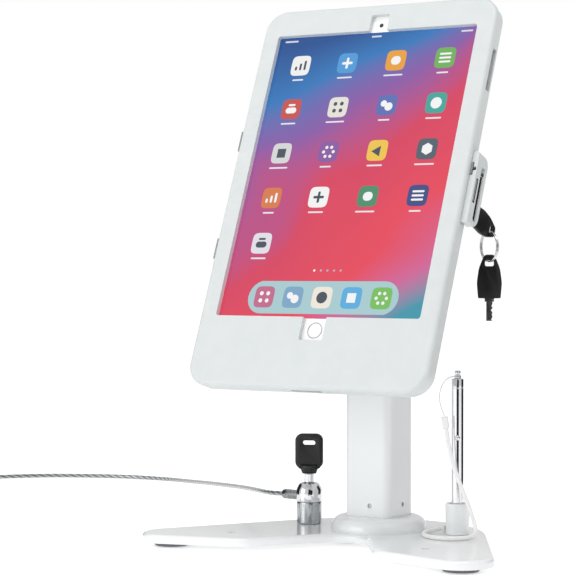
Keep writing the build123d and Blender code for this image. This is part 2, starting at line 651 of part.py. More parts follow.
def barrel_band():
    """Polished ring that carries the cable's ferrule, with the domed shoulder above it."""
    rise = ThreePointArc((BARREL_R + 0.2, BAND_TOP - 0.4), (BARREL_R - 1.2, BAND_TOP + 3), (6.6, DOME_TOP))
    rest = Polyline((6.6, DOME_TOP), (0, DOME_TOP), (0, BARREL_TOP), (BARREL_R + 0.2, BARREL_TOP))
    side = Line((BARREL_R + 0.2, BARREL_TOP), (BARREL_R + 0.2, BAND_TOP - 0.4))
    band = Pos(BARREL_X, BARREL_Y) * revolve(Plane.XZ * make_face([rise, rest, side]), Axis.Z)
    return band - post(BARREL_X, BARREL_Y, CORE_R + FIT, 14, 60)


def lock_core():
    """Round core with a ring-shaped keyway."""
    core = post(BARREL_X, BARREL_Y, CORE_R, 14.2, DOME_TOP - 0.6)
    keyway = post(BARREL_X, BARREL_Y, TUBE_R + 0.1, 20, 60) - post(BARREL_X, BARREL_Y, 2.1, 10, 60)
    return core - keyway


def tube_key_shaft():
    tube = post(BARREL_X, BARREL_Y, TUBE_R, 26, 50) - post(BARREL_X, BARREL_Y, 2.3, 20, 47)
    return tube + post(BARREL_X, BARREL_Y, 4.3, 44.5, 47.5)


def tube_key_head():
    """Flat moulded head with a skirt that narrows to the tube and a curved slot near its top."""
    bow = Pos(0, 60.8) * RectangleRounded(19.8, 25, 5.0)
    bow -= Pos(0, 66.8) * SlotOverall(9, 3.2)
    head = Pos(0, 0, 0) * extrude(Plane.XZ * bow, amount=2.8, both=True)
    skirt = cone(0, 0, 5.2, 7.0, 45.0, 51.0)
    head = head + skirt
    head -= post(0, 0, TUBE_R + 0.05, 30, 50.05)
    head -= post(0, 0, 4.35, 44, 47.6)
    return Pos(BARREL_X, BARREL_Y, 0) * Rot(0, 0, 26) * head


def from_barrel(a, b, z):
    """A point a to the right and b nearer, as seen along the bearing, from the cable lock's axis."""
    x = BARREL_X + a * ACROSS[0] + b * NEAR[0]
    y = BARREL_Y + a * ACROSS[1] + b * NEAR[1]
    return (x, y, z)


def straight(p, q, r):
    """A round bar from one point to another."""
    run = Line(p, q)
    return sweep(Plane(origin=p, z_dir=run % 0) * Circle(r), path=run)


def cable_ferrule():
    start = CABLE_ROUTE[0]
    body = straight(from_barrel(start[0] * 0.3, start[1] * 0.3, start[2]), from_barrel(*start), 3.4)
    return body - post(BARREL_X, BARREL_Y, BARREL_R + 0.25, 10, 60)


CABLE_ROUTE = [
    (-17.5, -15.0, 28.6),
    (-24.0, -20.6, 28.2),
    (-31.0, -36.0, 27.3),
    (-37.5, -62.0, 25.8),
    (-45.5, -97.0, 23.4),
    (-56.0, -142.0, 19.9),
    (-68.5, -192.0, 15.8),
    (-82.7, -247.0, 11.2),
    (-98.5, -301.0, 6.6),
    (-114.5, -345.0, 3.4),
    (-131.0, -369.0, 2.0),
    (-149.7, -381.5, 1.8),
    (-168.0, -388.6, 1.76),
    (-187.5, -393.0, 1.75),
    (-207.0, -395.6, 1.76),
    (-230.0, -396.4, 1.77),
    (-254.0, -392.0, 1.76),
    (-277.0, -383.0, 1.75),
    (-296.0, -370.0, 1.76),
]
COIL_R, COIL_W, COIL_H = 25.5, 11.2, 10.8
COIL_AT = (-307.0, -339.5)
TAIL_ROUTE = [(-31.8, -3.0), (-33.6, -12.0), (-39.0, -21.5), (-47.5, -28.0), (-57.0, -30.3)]


def fillet_radii(points, share=0.45):
    radii = []
    for a, b, c in zip(points, points[1:], points[2:]):
        p, q = Vector(*b) - Vector(*a), Vector(*c) - Vector(*b)
        turn = math.radians(p.get_angle(q))
        radii.append(share * min(p.length, q.length) / math.tan(turn / 2))
    return radii


def tube(name, points, r):
    """A cord's solid along straight runs joined by tangent arcs."""
    radii = fillet_radii(points)
    path = FilletPolyline(*points, radius=radii)
    solid = sweep(Plane(origin=points[0], z_dir=path % 0) * Circle(r), path=path)
    expected = math.pi * r * r * path.length
    share = solid.volume / expected
    print(name, "length", round(path.length, 1), "radii", [round(x) for x in radii], "volume share", round(share, 4))
    return solid


def security_cable():
    return tube("security_cable", [from_barrel(*p) for p in CABLE_ROUTE], CABLE_R)


def cable_coil():
    x, y, _ = from_barrel(COIL_AT[0], COIL_AT[1], 0)
    outer, inner = COIL_R + COIL_W / 2, COIL_R - COIL_W / 2
    ring = post(x, y, outer, 0, COIL_H) - post(x, y, inner, -1, COIL_H + 1)
    return fillet(ring.edges(), 1.6)


def cable_tail():
    """From the coil's side to the crimped sleeve."""
    cx, cy, _ = from_barrel(COIL_AT[0], COIL_AT[1], 0)
    points = [(cx + dx, cy + dy, CABLE_R) for dx, dy in TAIL_ROUTE]
    return tube("cable_tail", points, CABLE_R)


def tail_start():
    cx, cy, _ = from_barrel(COIL_AT[0], COIL_AT[1], 0)
    return cx - 20, cy - 25.5


def crimp_sleeve():
    """Flat oval sleeve over both legs of the end loop."""
    x, y = tail_start()
    oval = SlotOverall(9.2, 4.6)
    body = extrude(Plane(origin=(x - 36.5, y - 6.7, 2.3), x_dir=(0, 1, 0), z_dir=(-1, 0, 0)) * oval, amount=17)
    bore = extrude(Plane(origin=(x - 36.5, y - 4.8, CABLE_R), z_dir=(-1, 0, 0)) * Circle(CABLE_R + 0.02), amount=17)
    return body - bore


def cable_loop():
    """The eye of the cable's free end, a loop that leaves the sleeve and comes back to it."""
    x, y = tail_start()
    x0, y0, z = x - 53.6, y - 4.8, CABLE_R
    lean = 3.7
    points = [(x0, y0, z), (x0 - 8, y0, z), (x0 - 19, y0 + 3.4, z), (x0 - 31, y0 + 8.4, z)]
    points += [(x0 - 43, y0 + 8.8, z), (x0 - 51, y0 + 1.8, z), (x0 - 52, y0 - 8.2, z)]
    points += [(x0 - 43, y0 - 14.4, z), (x0 - 31, y0 - 12.9, z), (x0 - 19, y0 - 7.6, z)]
    points += [(x0 - 8, y0 - lean, z), (x0, y0 - lean, z)]
    return tube("cable_loop", points, CABLE_R)


# --- stylus ---------------------------------------------------------------------------------------------------
def pen_cup():
    """Conical cup with an eyelet at its foot for the end of the tether."""
    cup = cone(PEN_X, PEN_Y, CUP_FOOT_R + 1.0, CUP_TOP_R, PLATE_TOP, CUP_TOP)
    cup = cup - cone(PEN_X, PEN_Y, PEN_R + 0.5, PEN_R + 1.6, PLATE_TOP + 2.6, CUP_TOP + 0.01)
    cup = cup - post(PEN_X, PEN_Y, 1.55, PLATE_TOP - 1, PLATE_TOP + 2.1)
    x, y, _ = from_pen(-6.4, -9.6, 0)
    lug = post(x, y, 2.9, PLATE_TOP, PLATE_TOP + 4.6) - post(PEN_X, PEN_Y, 7.0, PLATE_TOP - 1, CUP_TOP)
    bore = straight(from_pen(-7.4, -12.8, 11.8), from_pen(-6.4, -9.6, 11.8), TETHER_R + 0.02)
    return cup + lug - bore


def pen_body():
    """Round barrel with a small stud on its near side."""
    barrel = post(PEN_X, PEN_Y, PEN_R, PEN_FOOT, PEN_TOP)
    x, y, z = from_pen(-0.4, PEN_R - 0.3, PEN_STUD_Z)
    return fillet(barrel.edges(), 0.6) + Pos(x, y, z) * Sphere(1.7)


def pen_tip():
    """Narrow knurled end above the barrel, in two steps."""
    lower = post(PEN_X, PEN_Y, 2.2, PEN_TOP, PEN_TOP + 2.4)
    waist = post(PEN_X, PEN_Y, 1.5, PEN_TOP + 2.4, PEN_TOP + 3.2)
    upper = post(PEN_X, PEN_Y, 2.1, PEN_TOP + 3.2, PEN_TOP + 5.6)
    return lower + waist + upper


def from_pen(a, b, z):
    x = PEN_X + a * ACROSS[0] + b * NEAR[0]
    y = PEN_Y + a * ACROSS[1] + b * NEAR[1]
    return (x, y, z)


STRING_ROUTE = [(-5.2, 0.9, 117.3), (-9.2, 1.8, 114.4), (-11.8, 2.6, 109.4), (-12.9, 3.2, 103.6)]
STRING_ROUTE += [(-12.0, 3.9, 97.4), (-9.4, 4.6, 90.6)]
TETHER_ROUTE = [
    (-8.2, 5.0, 82.6),
    (-7.2, 5.9, 74.5),
    (-5.6, 7.1, 65.8),
    (-3.2, 8.4, 56.6),
    (-0.1, 9.8, 47.4),
    (3.4, 11.4, 38.2),
    (6.9, 13.2, 29.0),
    (9.7, 15.6, 20.6),
    (11.2, 20.0, 14.0),
    (9.0, 26.5, 10.9),
    (1.8, 33.2, 10.6),
    (-8.8, 35.4, 10.55),
    (-18.0, 30.0, 10.6),
    (-23.4, 20.4, 10.55),
    (-24.4, 9.2, 10.6),
    (-21.4, -2.2, 10.65),
    (-14.6, -10.6, 10.9),
    (-7.4, -12.8, 11.8),
]


def tether_string():
    return tube("tether_string", [from_pen(*p) for p in STRING_ROUTE], STRING_R)


def tether_cord():
    return tube("tether_cord", [from_pen(*p) for p in TETHER_ROUTE], TETHER_R)


def tether_sleeve():
    """Crimp that joins the thin line to the vinyl cord."""
    p, q = from_pen(-9.3, 4.7, 90.3), from_pen(-8.15, 5.03, 82.2)
    body = straight(p, q, 2.4)
    low = straight(from_pen(-8.2, 5.0, 82.6), q, TETHER_R + 0.02)
    return body - low


# --- assembly -------------------------------------------------------------------------------------------------
def build_base():
    put("base_plate", base_plate())
    put("feet", group(foot(x, y, FOOT_R) for x, y in FOOT_AT))
    put("foot_centre", foot(0, 0, 9.0))
    put("base_screws", base_screws())
    put("column_flange", column_flange())
    put("collar", collar())
    put("column", column())
    put("column_head", column_head())
    put("column_screws", group(set_screws() + head_screws()))


def build_joints():
    place("tilt_yoke", tilt_yoke())
    put("tilt_washers", tilt_washers())
    put("tilt_bolt", tilt_bolt())
    put("tilt_nut", tilt_nut())
    place("swivel_washer", swivel_washer())
    place("swivel_plate", swivel_plate())
    place("swivel_stud", swivel_stud())
    place("spring_washers", spring_washers())
    place("swivel_nut", swivel_nut())
    place("plate_screws", plate_screws())


def build_case():
    place("rear_shell", rear_shell())
    place("front_frame", front_frame())
    place("rear_knuckles", rear_knuckles())
    place("frame_knuckles", frame_knuckles())
    place("hinge_pins", hinge_pins())
    place("back_pads", back_pads())
    place("corner_bumpers", corner_bumpers())
    place("tablet_body", tablet_body())
    place("tablet_bezel", tablet_bezel())
    place("tablet_screen", tablet_screen())
    place("home_button", home_button())


def build_case_lock():
    place("lock_housing", lock_housing())
    place("slot_liner", slot_liner())
    place("lock_sleeve", lock_sleeve())
    place("lock_plug", lock_plug())
    place("lock_bolt", lock_bolt())
    place("keeper", keeper())
    blade, head = key_blade(), key_head()
    head -= Pos(0, -KEY_L + 0.7) * Box(6.5, 6.1, BLADE_T + 0.1)
    place("case_key_blade", in_lock(blade))
    place("case_key_head", in_lock(head))
    put("key_ring", key_ring())
    put("spare_key_blade", spare(blade))
    put("spare_key_head", spare(head))


def build_cable_lock():
    put("lock_anchor", lock_anchor())
    put("barrel_body", barrel_body())
    put("barrel_band", barrel_band())
    put("lock_core", lock_core())
    put("tube_key_shaft", tube_key_shaft())
    put("tube_key_head", tube_key_head())
    put("cable_ferrule", cable_ferrule())
    put("security_cable", security_cable())
    put("cable_coil", cable_coil())
    put("cable_tail", cable_tail())
    put("crimp_sleeve", crimp_sleeve())
    put("cable_loop", cable_loop())


def build_stylus():
    put("pen_cup", pen_cup())
    put("pen_body", pen_body())
    put("pen_tip", pen_tip())
    put("tether_string", tether_string())
    put("tether_sleeve", tether_sleeve())
    put("tether_cord", tether_cord())


build_base()
build_joints()
build_case()
build_case_lock()
build_cable_lock()
build_stylus()
os.makedirs("parts", exist_ok=True)
for name, solid in NODES.items():
    export_step(solid, f"parts/{name}.step")
print(len(NODES), "nodes")
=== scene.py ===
"""Locking counter stand for a tablet: finishes, cable, stylus and display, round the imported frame."""

import json
import math

import bmesh
import bpy
import numpy as np
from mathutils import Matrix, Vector

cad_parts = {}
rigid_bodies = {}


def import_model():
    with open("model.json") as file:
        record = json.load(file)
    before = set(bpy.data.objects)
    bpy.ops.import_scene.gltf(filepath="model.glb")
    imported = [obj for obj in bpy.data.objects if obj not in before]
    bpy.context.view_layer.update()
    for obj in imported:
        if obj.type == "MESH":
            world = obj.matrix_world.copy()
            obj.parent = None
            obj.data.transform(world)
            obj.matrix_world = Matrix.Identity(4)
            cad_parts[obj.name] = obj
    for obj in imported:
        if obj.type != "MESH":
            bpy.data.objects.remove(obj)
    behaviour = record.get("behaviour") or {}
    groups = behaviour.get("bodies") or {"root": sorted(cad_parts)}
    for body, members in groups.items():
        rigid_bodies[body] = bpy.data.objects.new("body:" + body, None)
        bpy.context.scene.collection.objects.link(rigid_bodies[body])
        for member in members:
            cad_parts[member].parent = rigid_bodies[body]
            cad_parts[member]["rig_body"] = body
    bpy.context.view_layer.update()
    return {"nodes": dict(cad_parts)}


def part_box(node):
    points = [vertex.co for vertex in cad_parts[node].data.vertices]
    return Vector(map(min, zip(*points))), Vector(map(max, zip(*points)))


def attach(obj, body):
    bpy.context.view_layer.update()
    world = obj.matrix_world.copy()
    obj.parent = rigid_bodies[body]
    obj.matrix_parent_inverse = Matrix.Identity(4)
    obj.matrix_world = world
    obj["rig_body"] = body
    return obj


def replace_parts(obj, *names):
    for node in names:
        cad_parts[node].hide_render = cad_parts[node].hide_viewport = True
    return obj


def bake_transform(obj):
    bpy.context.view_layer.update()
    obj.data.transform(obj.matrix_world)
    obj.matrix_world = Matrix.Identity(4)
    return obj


bl_info = {
    "name": "Tablet counter stand",
    "version": (1, 0, 0),
    "blender": (4, 5, 0),
    "location": "3D View > Sidebar > Tablet stand",
    "description": "Builds the looks of a locking counter stand for a tablet",
    "category": "Add Mesh",
}

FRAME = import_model()
NODES = FRAME["nodes"]

MM = 0.001
RECLINE = math.radians(22.0)
PIVOT_Z = 224.0
BEARING = math.radians(32.6)
ACROSS = np.array([math.cos(BEARING), math.sin(BEARING)])
NEAR = np.array([math.sin(BEARING), -math.cos(BEARING)])
GLASS_H = 51.5  # height of the cover glass above the tilt axis, as the panel's other places, in millimetres
SCREEN_V = 15.0
RING_R, RING_WIRE, RING_TURN = 10.0, 0.5, -31.0
BARREL_AT = np.array([-57.0, -1.0])
PEN_AT = np.array([60.0, 4.0])


# --- places ---------------------------------------------------------------------------------------
def panel(u, v, h):
    """Points u across, v up the reclined panel and h out from its tilt axis, in metres in the row frame."""
    u, v, h = np.broadcast_arrays(np.asarray(u, float), v, h)
    c, s = math.cos(RECLINE), math.sin(RECLINE)
    return np.stack([u, v * s - h * c, PIVOT_Z + h * s + v * c], axis=-1) * MM


def from_axis(centre, points):
    """Points given as across, nearer and height from an upright axis, in metres in the row frame."""
    p = np.asarray(points, float)
    flat = centre + p[:, :1] * ACROSS + p[:, 1:2] * NEAR
    return np.column_stack([flat, p[:, 2]]) * MM


# --- meshes ---------------------------------------------------------------------------------------
def mesh_piece(name, verts, faces, body, finish, slot, smooth=True):
    """An object at the origin with this mesh, which moves with a body and takes a finish."""
    mesh = bpy.data.meshes.new(name)
    mesh.from_pydata(np.asarray(verts).tolist(), [], [tuple(int(i) for i in f) for f in faces])
    mesh.update()
    mesh.polygons.foreach_set("use_smooth", np.full(len(mesh.polygons), smooth))
    made = bpy.data.objects.new(name, mesh)
    bpy.context.scene.collection.objects.link(made)
    mesh.materials.append(material(finish))
    if body:
        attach(made, body)
    return made


def grid_faces(rows, columns, start=0):
    """Faces of a grid of points that closes on itself from its last column to its first."""
    r, c = np.meshgrid(np.arange(rows - 1), np.arange(columns), indexing="ij")
    nxt = (c + 1) % columns
    quads = np.stack([r * columns + c, r * columns + nxt, (r + 1) * columns + nxt, (r + 1) * columns + c], -1)
    return quads.reshape(-1, 4) + start


def closed_tube(rings):
    """Vertices and faces of rings of points joined in turn, with a centre point that closes each end."""
    rows, columns = rings.shape[:2]
    ends = np.stack([rings[0].mean(0), rings[-1].mean(0)])
    verts = np.concatenate([rings.reshape(-1, 3), ends])
    c = np.arange(columns)
    nxt = (c + 1) % columns
    low = np.column_stack([np.full(columns, rows * columns), nxt, c])
    last = (rows - 1) * columns
    high = np.column_stack([np.full(columns, rows * columns + 1), last + c, last + nxt])
    return verts, [*grid_faces(rows, columns).tolist(), *low.tolist(), *high.tolist()]


def closed_profile(rings):
    """Vertices and faces of rings of points joined in turn, and the last to the first."""
    rows, columns = rings.shape[:2]
    c = np.arange(columns)
    last = (rows - 1) * columns
    close = np.column_stack([last + c, last + (c + 1) % columns, (c + 1) % columns, c])
    return rings.reshape(-1, 3), [*grid_faces(rows, columns).tolist(), *close.tolist()]


def turned(profile, centre, sides=64, wave=None):
    """A profile of radius and height turned round an upright axis; a wave adds to the radius."""
    profile = np.asarray(profile, float)
    a = np.linspace(0, 2 * math.pi, sides, endpoint=False)
    r = profile[:, :1] + (0 if wave is None else wave(profile[:, 1:2], a[None]))
    x, y = centre[0] + r * np.cos(a), centre[1] + r * np.sin(a)
    z = np.broadcast_to(profile[:, 1:2], x.shape)
    return np.stack([x, y, z], -1) * MM


def frames(path):
    """Unit side and up directions carried along a path without twisting."""
    ahead = np.gradient(path, axis=0)
    ahead /= np.linalg.norm(ahead, axis=1)[:, None]
    side = np.cross(ahead[0], [0, 0, 1.0])
    if np.linalg.norm(side) < 1e-3:
        side = np.array([1.0, 0, 0])
    sides = []
    for t in ahead:
        side = side - t * (side @ t)
        side = side / np.linalg.norm(side)
        sides.append(side)
    sides = np.array(sides)
    return sides, np.cross(ahead, sides)


def along(path, radius, sides=16):
    """Rings of a given radius round each point of a path; the radius may change along it and round it."""
    a = np.linspace(0, 2 * math.pi, sides, endpoint=False)
    side, up = frames(path)
    r = np.broadcast_to(radius, (len(path), sides))
    c, s = np.cos(a)[None, :, None], np.sin(a)[None, :, None]
    return path[:, None] + r[..., None] * (c * side[:, None] + s * up[:, None])


def smooth_line(points, resolution=8):
    """The points of a smooth third-order spline with these control points."""
    curve = bpy.data.curves.new("route", "CURVE")
    curve.dimensions = "3D"
    spline = curve.splines.new("NURBS")
    spline.points.add(len(points) - 1)
    spline.points.foreach_set("co", np.column_stack([points, np.ones(len(points))]).ravel())
    spline.order_u = 3
    spline.use_endpoint_u = True
    spline.resolution_u = resolution
    holder = bpy.data.objects.new("route", curve)
    mesh = bpy.data.meshes.new_from_object(holder)
    line = np.empty(len(mesh.vertices) * 3)
    mesh.vertices.foreach_get("co", line)
    bpy.data.objects.remove(holder)
    bpy.data.curves.remove(curve)
    bpy.data.meshes.remove(mesh)
    return line.reshape(-1, 3)


def even(line, step):
    """The line again, with points one step apart."""
    d = np.concatenate([[0], np.cumsum(np.linalg.norm(np.diff(line, axis=0), axis=1))])
    at = np.linspace(0, d[-1], max(4, int(d[-1] / step)))
    return np.stack([np.interp(at, d, line[:, k]) for k in range(3)], axis=1), at


def uv_along(obj, rows, columns, metres, round_by):
    """A UV map whose v runs along the piece and u round it, both in metres, for the piece's tube faces."""
    layer = obj.data.uv_layers.new(name="run")
    loops = np.empty(len(obj.data.loops), np.int64)
    obj.data.loops.foreach_get("vertex_index", loops)
    row = np.minimum(loops // columns, rows - 1)
    u = (loops % columns) / columns * round_by
    v = np.asarray(metres)[row]
    layer.data.foreach_set("uv", np.column_stack([u, v]).astype(np.float32).ravel())


# --- materials ------------------------------------------------------------------------------------
def srgb(code):
    """Linear red, green, blue and alpha of an sRGB hex colour."""
    parts = [int(code[i : i + 2], 16) / 255 for i in (1, 3, 5)]
    return tuple(s / 12.92 if s <= 0.04045 else ((s + 0.055) / 1.055) ** 2.4 for s in parts) + (1.0,)


def add(tree, kind, inputs=(), **settings):
    """Adds a node with its settings, and gives each named input a value or a link from another socket."""
    made = tree.nodes.new(kind)
    for name, value in settings.items():
        setattr(made, name, value)
    for name, value in dict(inputs).items():
        if isinstance(value, bpy.types.NodeSocket):
            tree.links.new(value, made.inputs[name])
        else:
            made.inputs[name].default_value = value
    return made


def begin(name, **sockets):
    """A material with one Principled shader whose constant sockets are set directly."""
    made = bpy.data.materials.new(name)
    made.use_nodes = True
    tree = made.node_tree
    tree.nodes.clear()
    shader = add(tree, "ShaderNodeBsdfPrincipled", {k.replace("_", " "): v for k, v in sockets.items()})
    add(tree, "ShaderNodeOutputMaterial", {"Surface": shader.outputs[0]})
    where = add(tree, "ShaderNodeTexCoord").outputs["Object"]
    return made, tree, shader, where


def ramp(tree, factor, stops):
    """A colour ramp between hex colours at given places."""
    made = add(tree, "ShaderNodeValToRGB", {"Fac": factor})
    elements = made.color_ramp.elements
    while len(elements) < len(stops):
        elements.new(0.5)
    for element, (place, code) in zip(elements, stops):
        element.position = place
        element.color = srgb(code)
    return made.outputs["Color"]


def skin(tree, shader, where, size, depth, rough, tones=None, fine=0.45):
    """Moulded or sprayed skin: noise of a real size in metres lifts the surface, a slow one varies its gloss.

    Tones are the darker and lighter hex colours that a second, slow noise moves between."""
    grain = {"Vector": where, "Scale": 1 / size, "Detail": 3.0, "Roughness": fine}
    noise = add(tree, "ShaderNodeTexNoise", grain)
    bump = add(tree, "ShaderNodeBump", {"Height": noise.outputs["Fac"], "Distance": depth, "Strength": 1.0})
    tree.links.new(bump.outputs["Normal"], shader.inputs["Normal"])
    slow = add(tree, "ShaderNodeTexNoise", {"Vector": where, "Scale": 1 / 0.012, "Detail": 4.0})
    span = {"From Min": 0.3, "From Max": 0.7, "To Min": rough[0], "To Max": rough[1]}
    gloss = add(tree, "ShaderNodeMapRange", {"Value": slow.outputs["Fac"], **span})
    tree.links.new(gloss.outputs[0], shader.inputs["Roughness"])
    if tones:
        colour = ramp(tree, slow.outputs["Fac"], [(0.3, tones[0]), (0.7, tones[1])])
        tree.links.new(colour, shader.inputs["Base Color"])


def brushed(tree, shader, where, stretch, depth, rough, tones):
    """Brushed or turned metal: noise stretched along one direction, with lines a real distance apart."""
    lines = add(tree, "ShaderNodeMapping", {"Vector": where, "Scale": stretch})
    streaks = {"Vector": lines.outputs[0], "Scale": 1.0, "Detail": 4.0, "Roughness": 0.6}
    noise = add(tree, "ShaderNodeTexNoise", streaks)
    bump = add(tree, "ShaderNodeBump", {"Height": noise.outputs["Fac"], "Distance": depth, "Strength": 1.0})
    tree.links.new(bump.outputs["Normal"], shader.inputs["Normal"])
    span = {"To Min": rough[0], "To Max": rough[1]}
    gloss = add(tree, "ShaderNodeMapRange", {"Value": noise.outputs["Fac"], **span})
    tree.links.new(gloss.outputs[0], shader.inputs["Roughness"])
    colour = ramp(tree, noise.outputs["Fac"], [(0.3, tones[0]), (0.7, tones[1])])
    tree.links.new(colour, shader.inputs["Base Color"])


def powder_coated_steel():
    """White powder coat, baked glossy: a faint orange peel about 1.2 mm across under a clear-looking skin."""
    made, tree, shader, where = begin("powder_coated_steel", IOR=1.5, Coat_Weight=0.35, Coat_Roughness=0.06)
    skin(tree, shader, where, 1.2 * MM, 0.010 * MM, (0.15, 0.16), ("#f1f3f4", "#f2f4f5"))
    return made


def powder_coated_column():
    """The same white coat on the square tube, a little more matt."""
    made, tree, shader, where = begin("powder_coated_column", IOR=1.5, Coat_Weight=0.2, Coat_Roughness=0.12)
    skin(tree, shader, where, 1.2 * MM, 0.012 * MM, (0.28, 0.285), ("#eef0f2", "#eff1f2"))
    return made


def moulded_abs():
    """White ABS from a lightly sparked mould: a satin grain drawn 0.9 mm across so that it shows."""
    made, tree, shader, where = begin("moulded_abs", IOR=1.53, Subsurface_Weight=0.04, Subsurface_Scale=0.002)
    skin(tree, shader, where, 0.9 * MM, 0.012 * MM, (0.33, 0.42), ("#d0d5d5", "#d4d8d8"), 0.6)
    return made


def black_abs():
    """Black key heads, moulded with a fine leathery grain about 0.6 mm across."""
    made, tree, shader, where = begin("black_abs", IOR=1.53)
    skin(tree, shader, where, 0.6 * MM, 0.02 * MM, (0.34, 0.46), ("#0b0b0c", "#141415"), 0.65)
    return made


def rubber():
    """Black moulded rubber, dull, with a bloom in paler patches."""
    made, tree, shader, where = begin("rubber", IOR=1.52)
    skin(tree, shader, where, 0.5 * MM, 0.03 * MM, (0.7, 0.85), ("#191919", "#262625"), 0.7)
    return made


def foam():
    """Closed-cell foam strip, with cells about 0.5 mm across."""
    made, tree, shader, where = begin("foam", IOR=1.4)
    cells = add(tree, "ShaderNodeTexVoronoi", {"Vector": where, "Scale": 1 / (0.5 * MM)})
    dents = {"Height": cells.outputs["Distance"], "Distance": 0.08 * MM, "Strength": 1.0}
    bump = add(tree, "ShaderNodeBump", dents)
    tree.links.new(bump.outputs[0], shader.inputs["Normal"])
    colour = ramp(tree, cells.outputs["Distance"], [(0.0, "#202021"), (0.8, "#3a3a3b")])
    tree.links.new(colour, shader.inputs["Base Color"])
    shader.inputs["Roughness"].default_value = 0.9
    return made


def zinc_plate():
    """Zinc-plated steel screws and washers: bluish grey with slow patches of passivation."""
    made, tree, shader, where = begin("zinc_plate", Metallic=1.0)
    skin(tree, shader, where, 0.8 * MM, 0.006 * MM, (0.28, 0.42), ("#9ea2a6", "#b7bbbd"))
    return made


def chrome():
    """Polished chromium plate with very faint wiping marks."""
    made, tree, shader, where = begin("chrome", Metallic=1.0)
    brushed(tree, shader, where, (400.0, 400.0, 40.0), 0.0015 * MM, (0.05, 0.11), ("#c9cacb", "#d6d7d8"))
    return made


def satin_chrome():
    """Satin chrome, turned: very fine lines round an upright axis, about 0.2 mm apart."""
    made, tree, shader, where = begin("satin_chrome", Metallic=1.0)
    brushed(tree, shader, where, (12.0, 12.0, 5000.0), 0.0012 * MM, (0.16, 0.24), ("#b4b8bb", "#c2c5c8"))
    return made


def turned_nickel():
    """Satin nickel, turned on a lathe: lines round an upright axis, about 0.3 mm apart."""
    made, tree, shader, where = begin("turned_nickel", Metallic=1.0)
    brushed(tree, shader, where, (25.0, 25.0, 3300.0), 0.003 * MM, (0.2, 0.3), ("#8f9192", "#a5a7a8"))
    return made


def cast_alloy():
    """Die-cast zinc alloy, shot-blasted: a grit of about 0.4 mm."""
    made, tree, shader, where = begin("cast_alloy", Metallic=1.0)
    skin(tree, shader, where, 0.4 * MM, 0.02 * MM, (0.42, 0.55), ("#8b8d8f", "#9fa1a3"), 0.7)
    return made


def nylon():
    """White nylon washers, slightly milky."""
    made, tree, shader, where = begin("nylon", IOR=1.53, Subsurface_Weight=0.15, Subsurface_Scale=0.003)
    skin(tree, shader, where, 0.8 * MM, 0.01 * MM, (0.4, 0.5), ("#dedcd5", "#e8e6df"))
    return made


def jacketed_rope():
    """Twisted steel wires under the glossy coat of a clear vinyl jacket, with light and dark stripes painted
    along the lay as the highlights and shade of the round strands.
    """
    made, tree, shader, where = begin(
        "jacketed_rope", Metallic=0.55, Coat_Weight=1.0, Coat_Roughness=0.12, Coat_IOR=1.53, IOR=1.53
    )
    run = add(tree, "ShaderNodeTexCoord").outputs["UV"]
    parts = add(tree, "ShaderNodeSeparateXYZ", {"Vector": run})
    # Painted highlight and shade: stripes that follow the lay, light and dark by turns, stand in for the
    # light on the strands.
    turn = add(tree, "ShaderNodeMath", {0: parts.outputs["Y"], 1: 6 / 0.021}, operation="MULTIPLY")
    phase = add(tree, "ShaderNodeMath", {0: parts.outputs["X"], 1: 6.0}, operation="MULTIPLY")
    both = add(tree, "ShaderNodeMath", {0: turn.outputs[0], 1: phase.outputs[0]}, operation="SUBTRACT")
    wave = add(tree, "ShaderNodeMath", {0: both.outputs[0], 1: 1.0}, operation="PINGPONG")
    colour = ramp(tree, wave.outputs[0], [(0.0, "#4e5254"), (0.35, "#8f9496"), (1.0, "#c3c7c8")])
    tree.links.new(colour, shader.inputs["Base Color"])
    skin(tree, shader, where, 0.5 * MM, 0.006 * MM, (0.3, 0.42))
    return made


def white_vinyl():
    """Soft white vinyl cord."""
    made, tree, shader, where = begin("white_vinyl", IOR=1.53, Subsurface_Weight=0.1, Subsurface_Scale=0.002)
    skin(tree, shader, where, 0.7 * MM, 0.01 * MM, (0.32, 0.42), ("#f1f2f3", "#f5f6f6"))
    return made


def clear_line():
    """Clear nylon line, which looks pale and glassy at this thickness."""
    made, tree, shader, where = begin("clear_line", IOR=1.53, Transmission_Weight=0.55)
    skin(tree, shader, where, 0.5 * MM, 0.003 * MM, (0.12, 0.2), ("#dfe3e4", "#eceff0"))
    return made


def white_glass():
    """White-backed cover glass: flat, glossy, with a clear coat for its depth."""
    made, tree, shader, where = begin("white_glass", IOR=1.52, Coat_Weight=1.0, Coat_Roughness=0.02)
    skin(tree, shader, where, 8 * MM, 0.001 * MM, (0.08, 0.12), ("#e9eaea", "#eeeeee"))
    return made


def anodised_back():
    """Silver anodised aluminium shell of the tablet, bead-blasted to a fine satin."""
    made, tree, shader, where = begin("anodised_back", Metallic=1.0)
    skin(tree, shader, where, 0.35 * MM, 0.006 * MM, (0.34, 0.42), ("#b4b6b9", "#bcbec0"), 0.7)
    return made


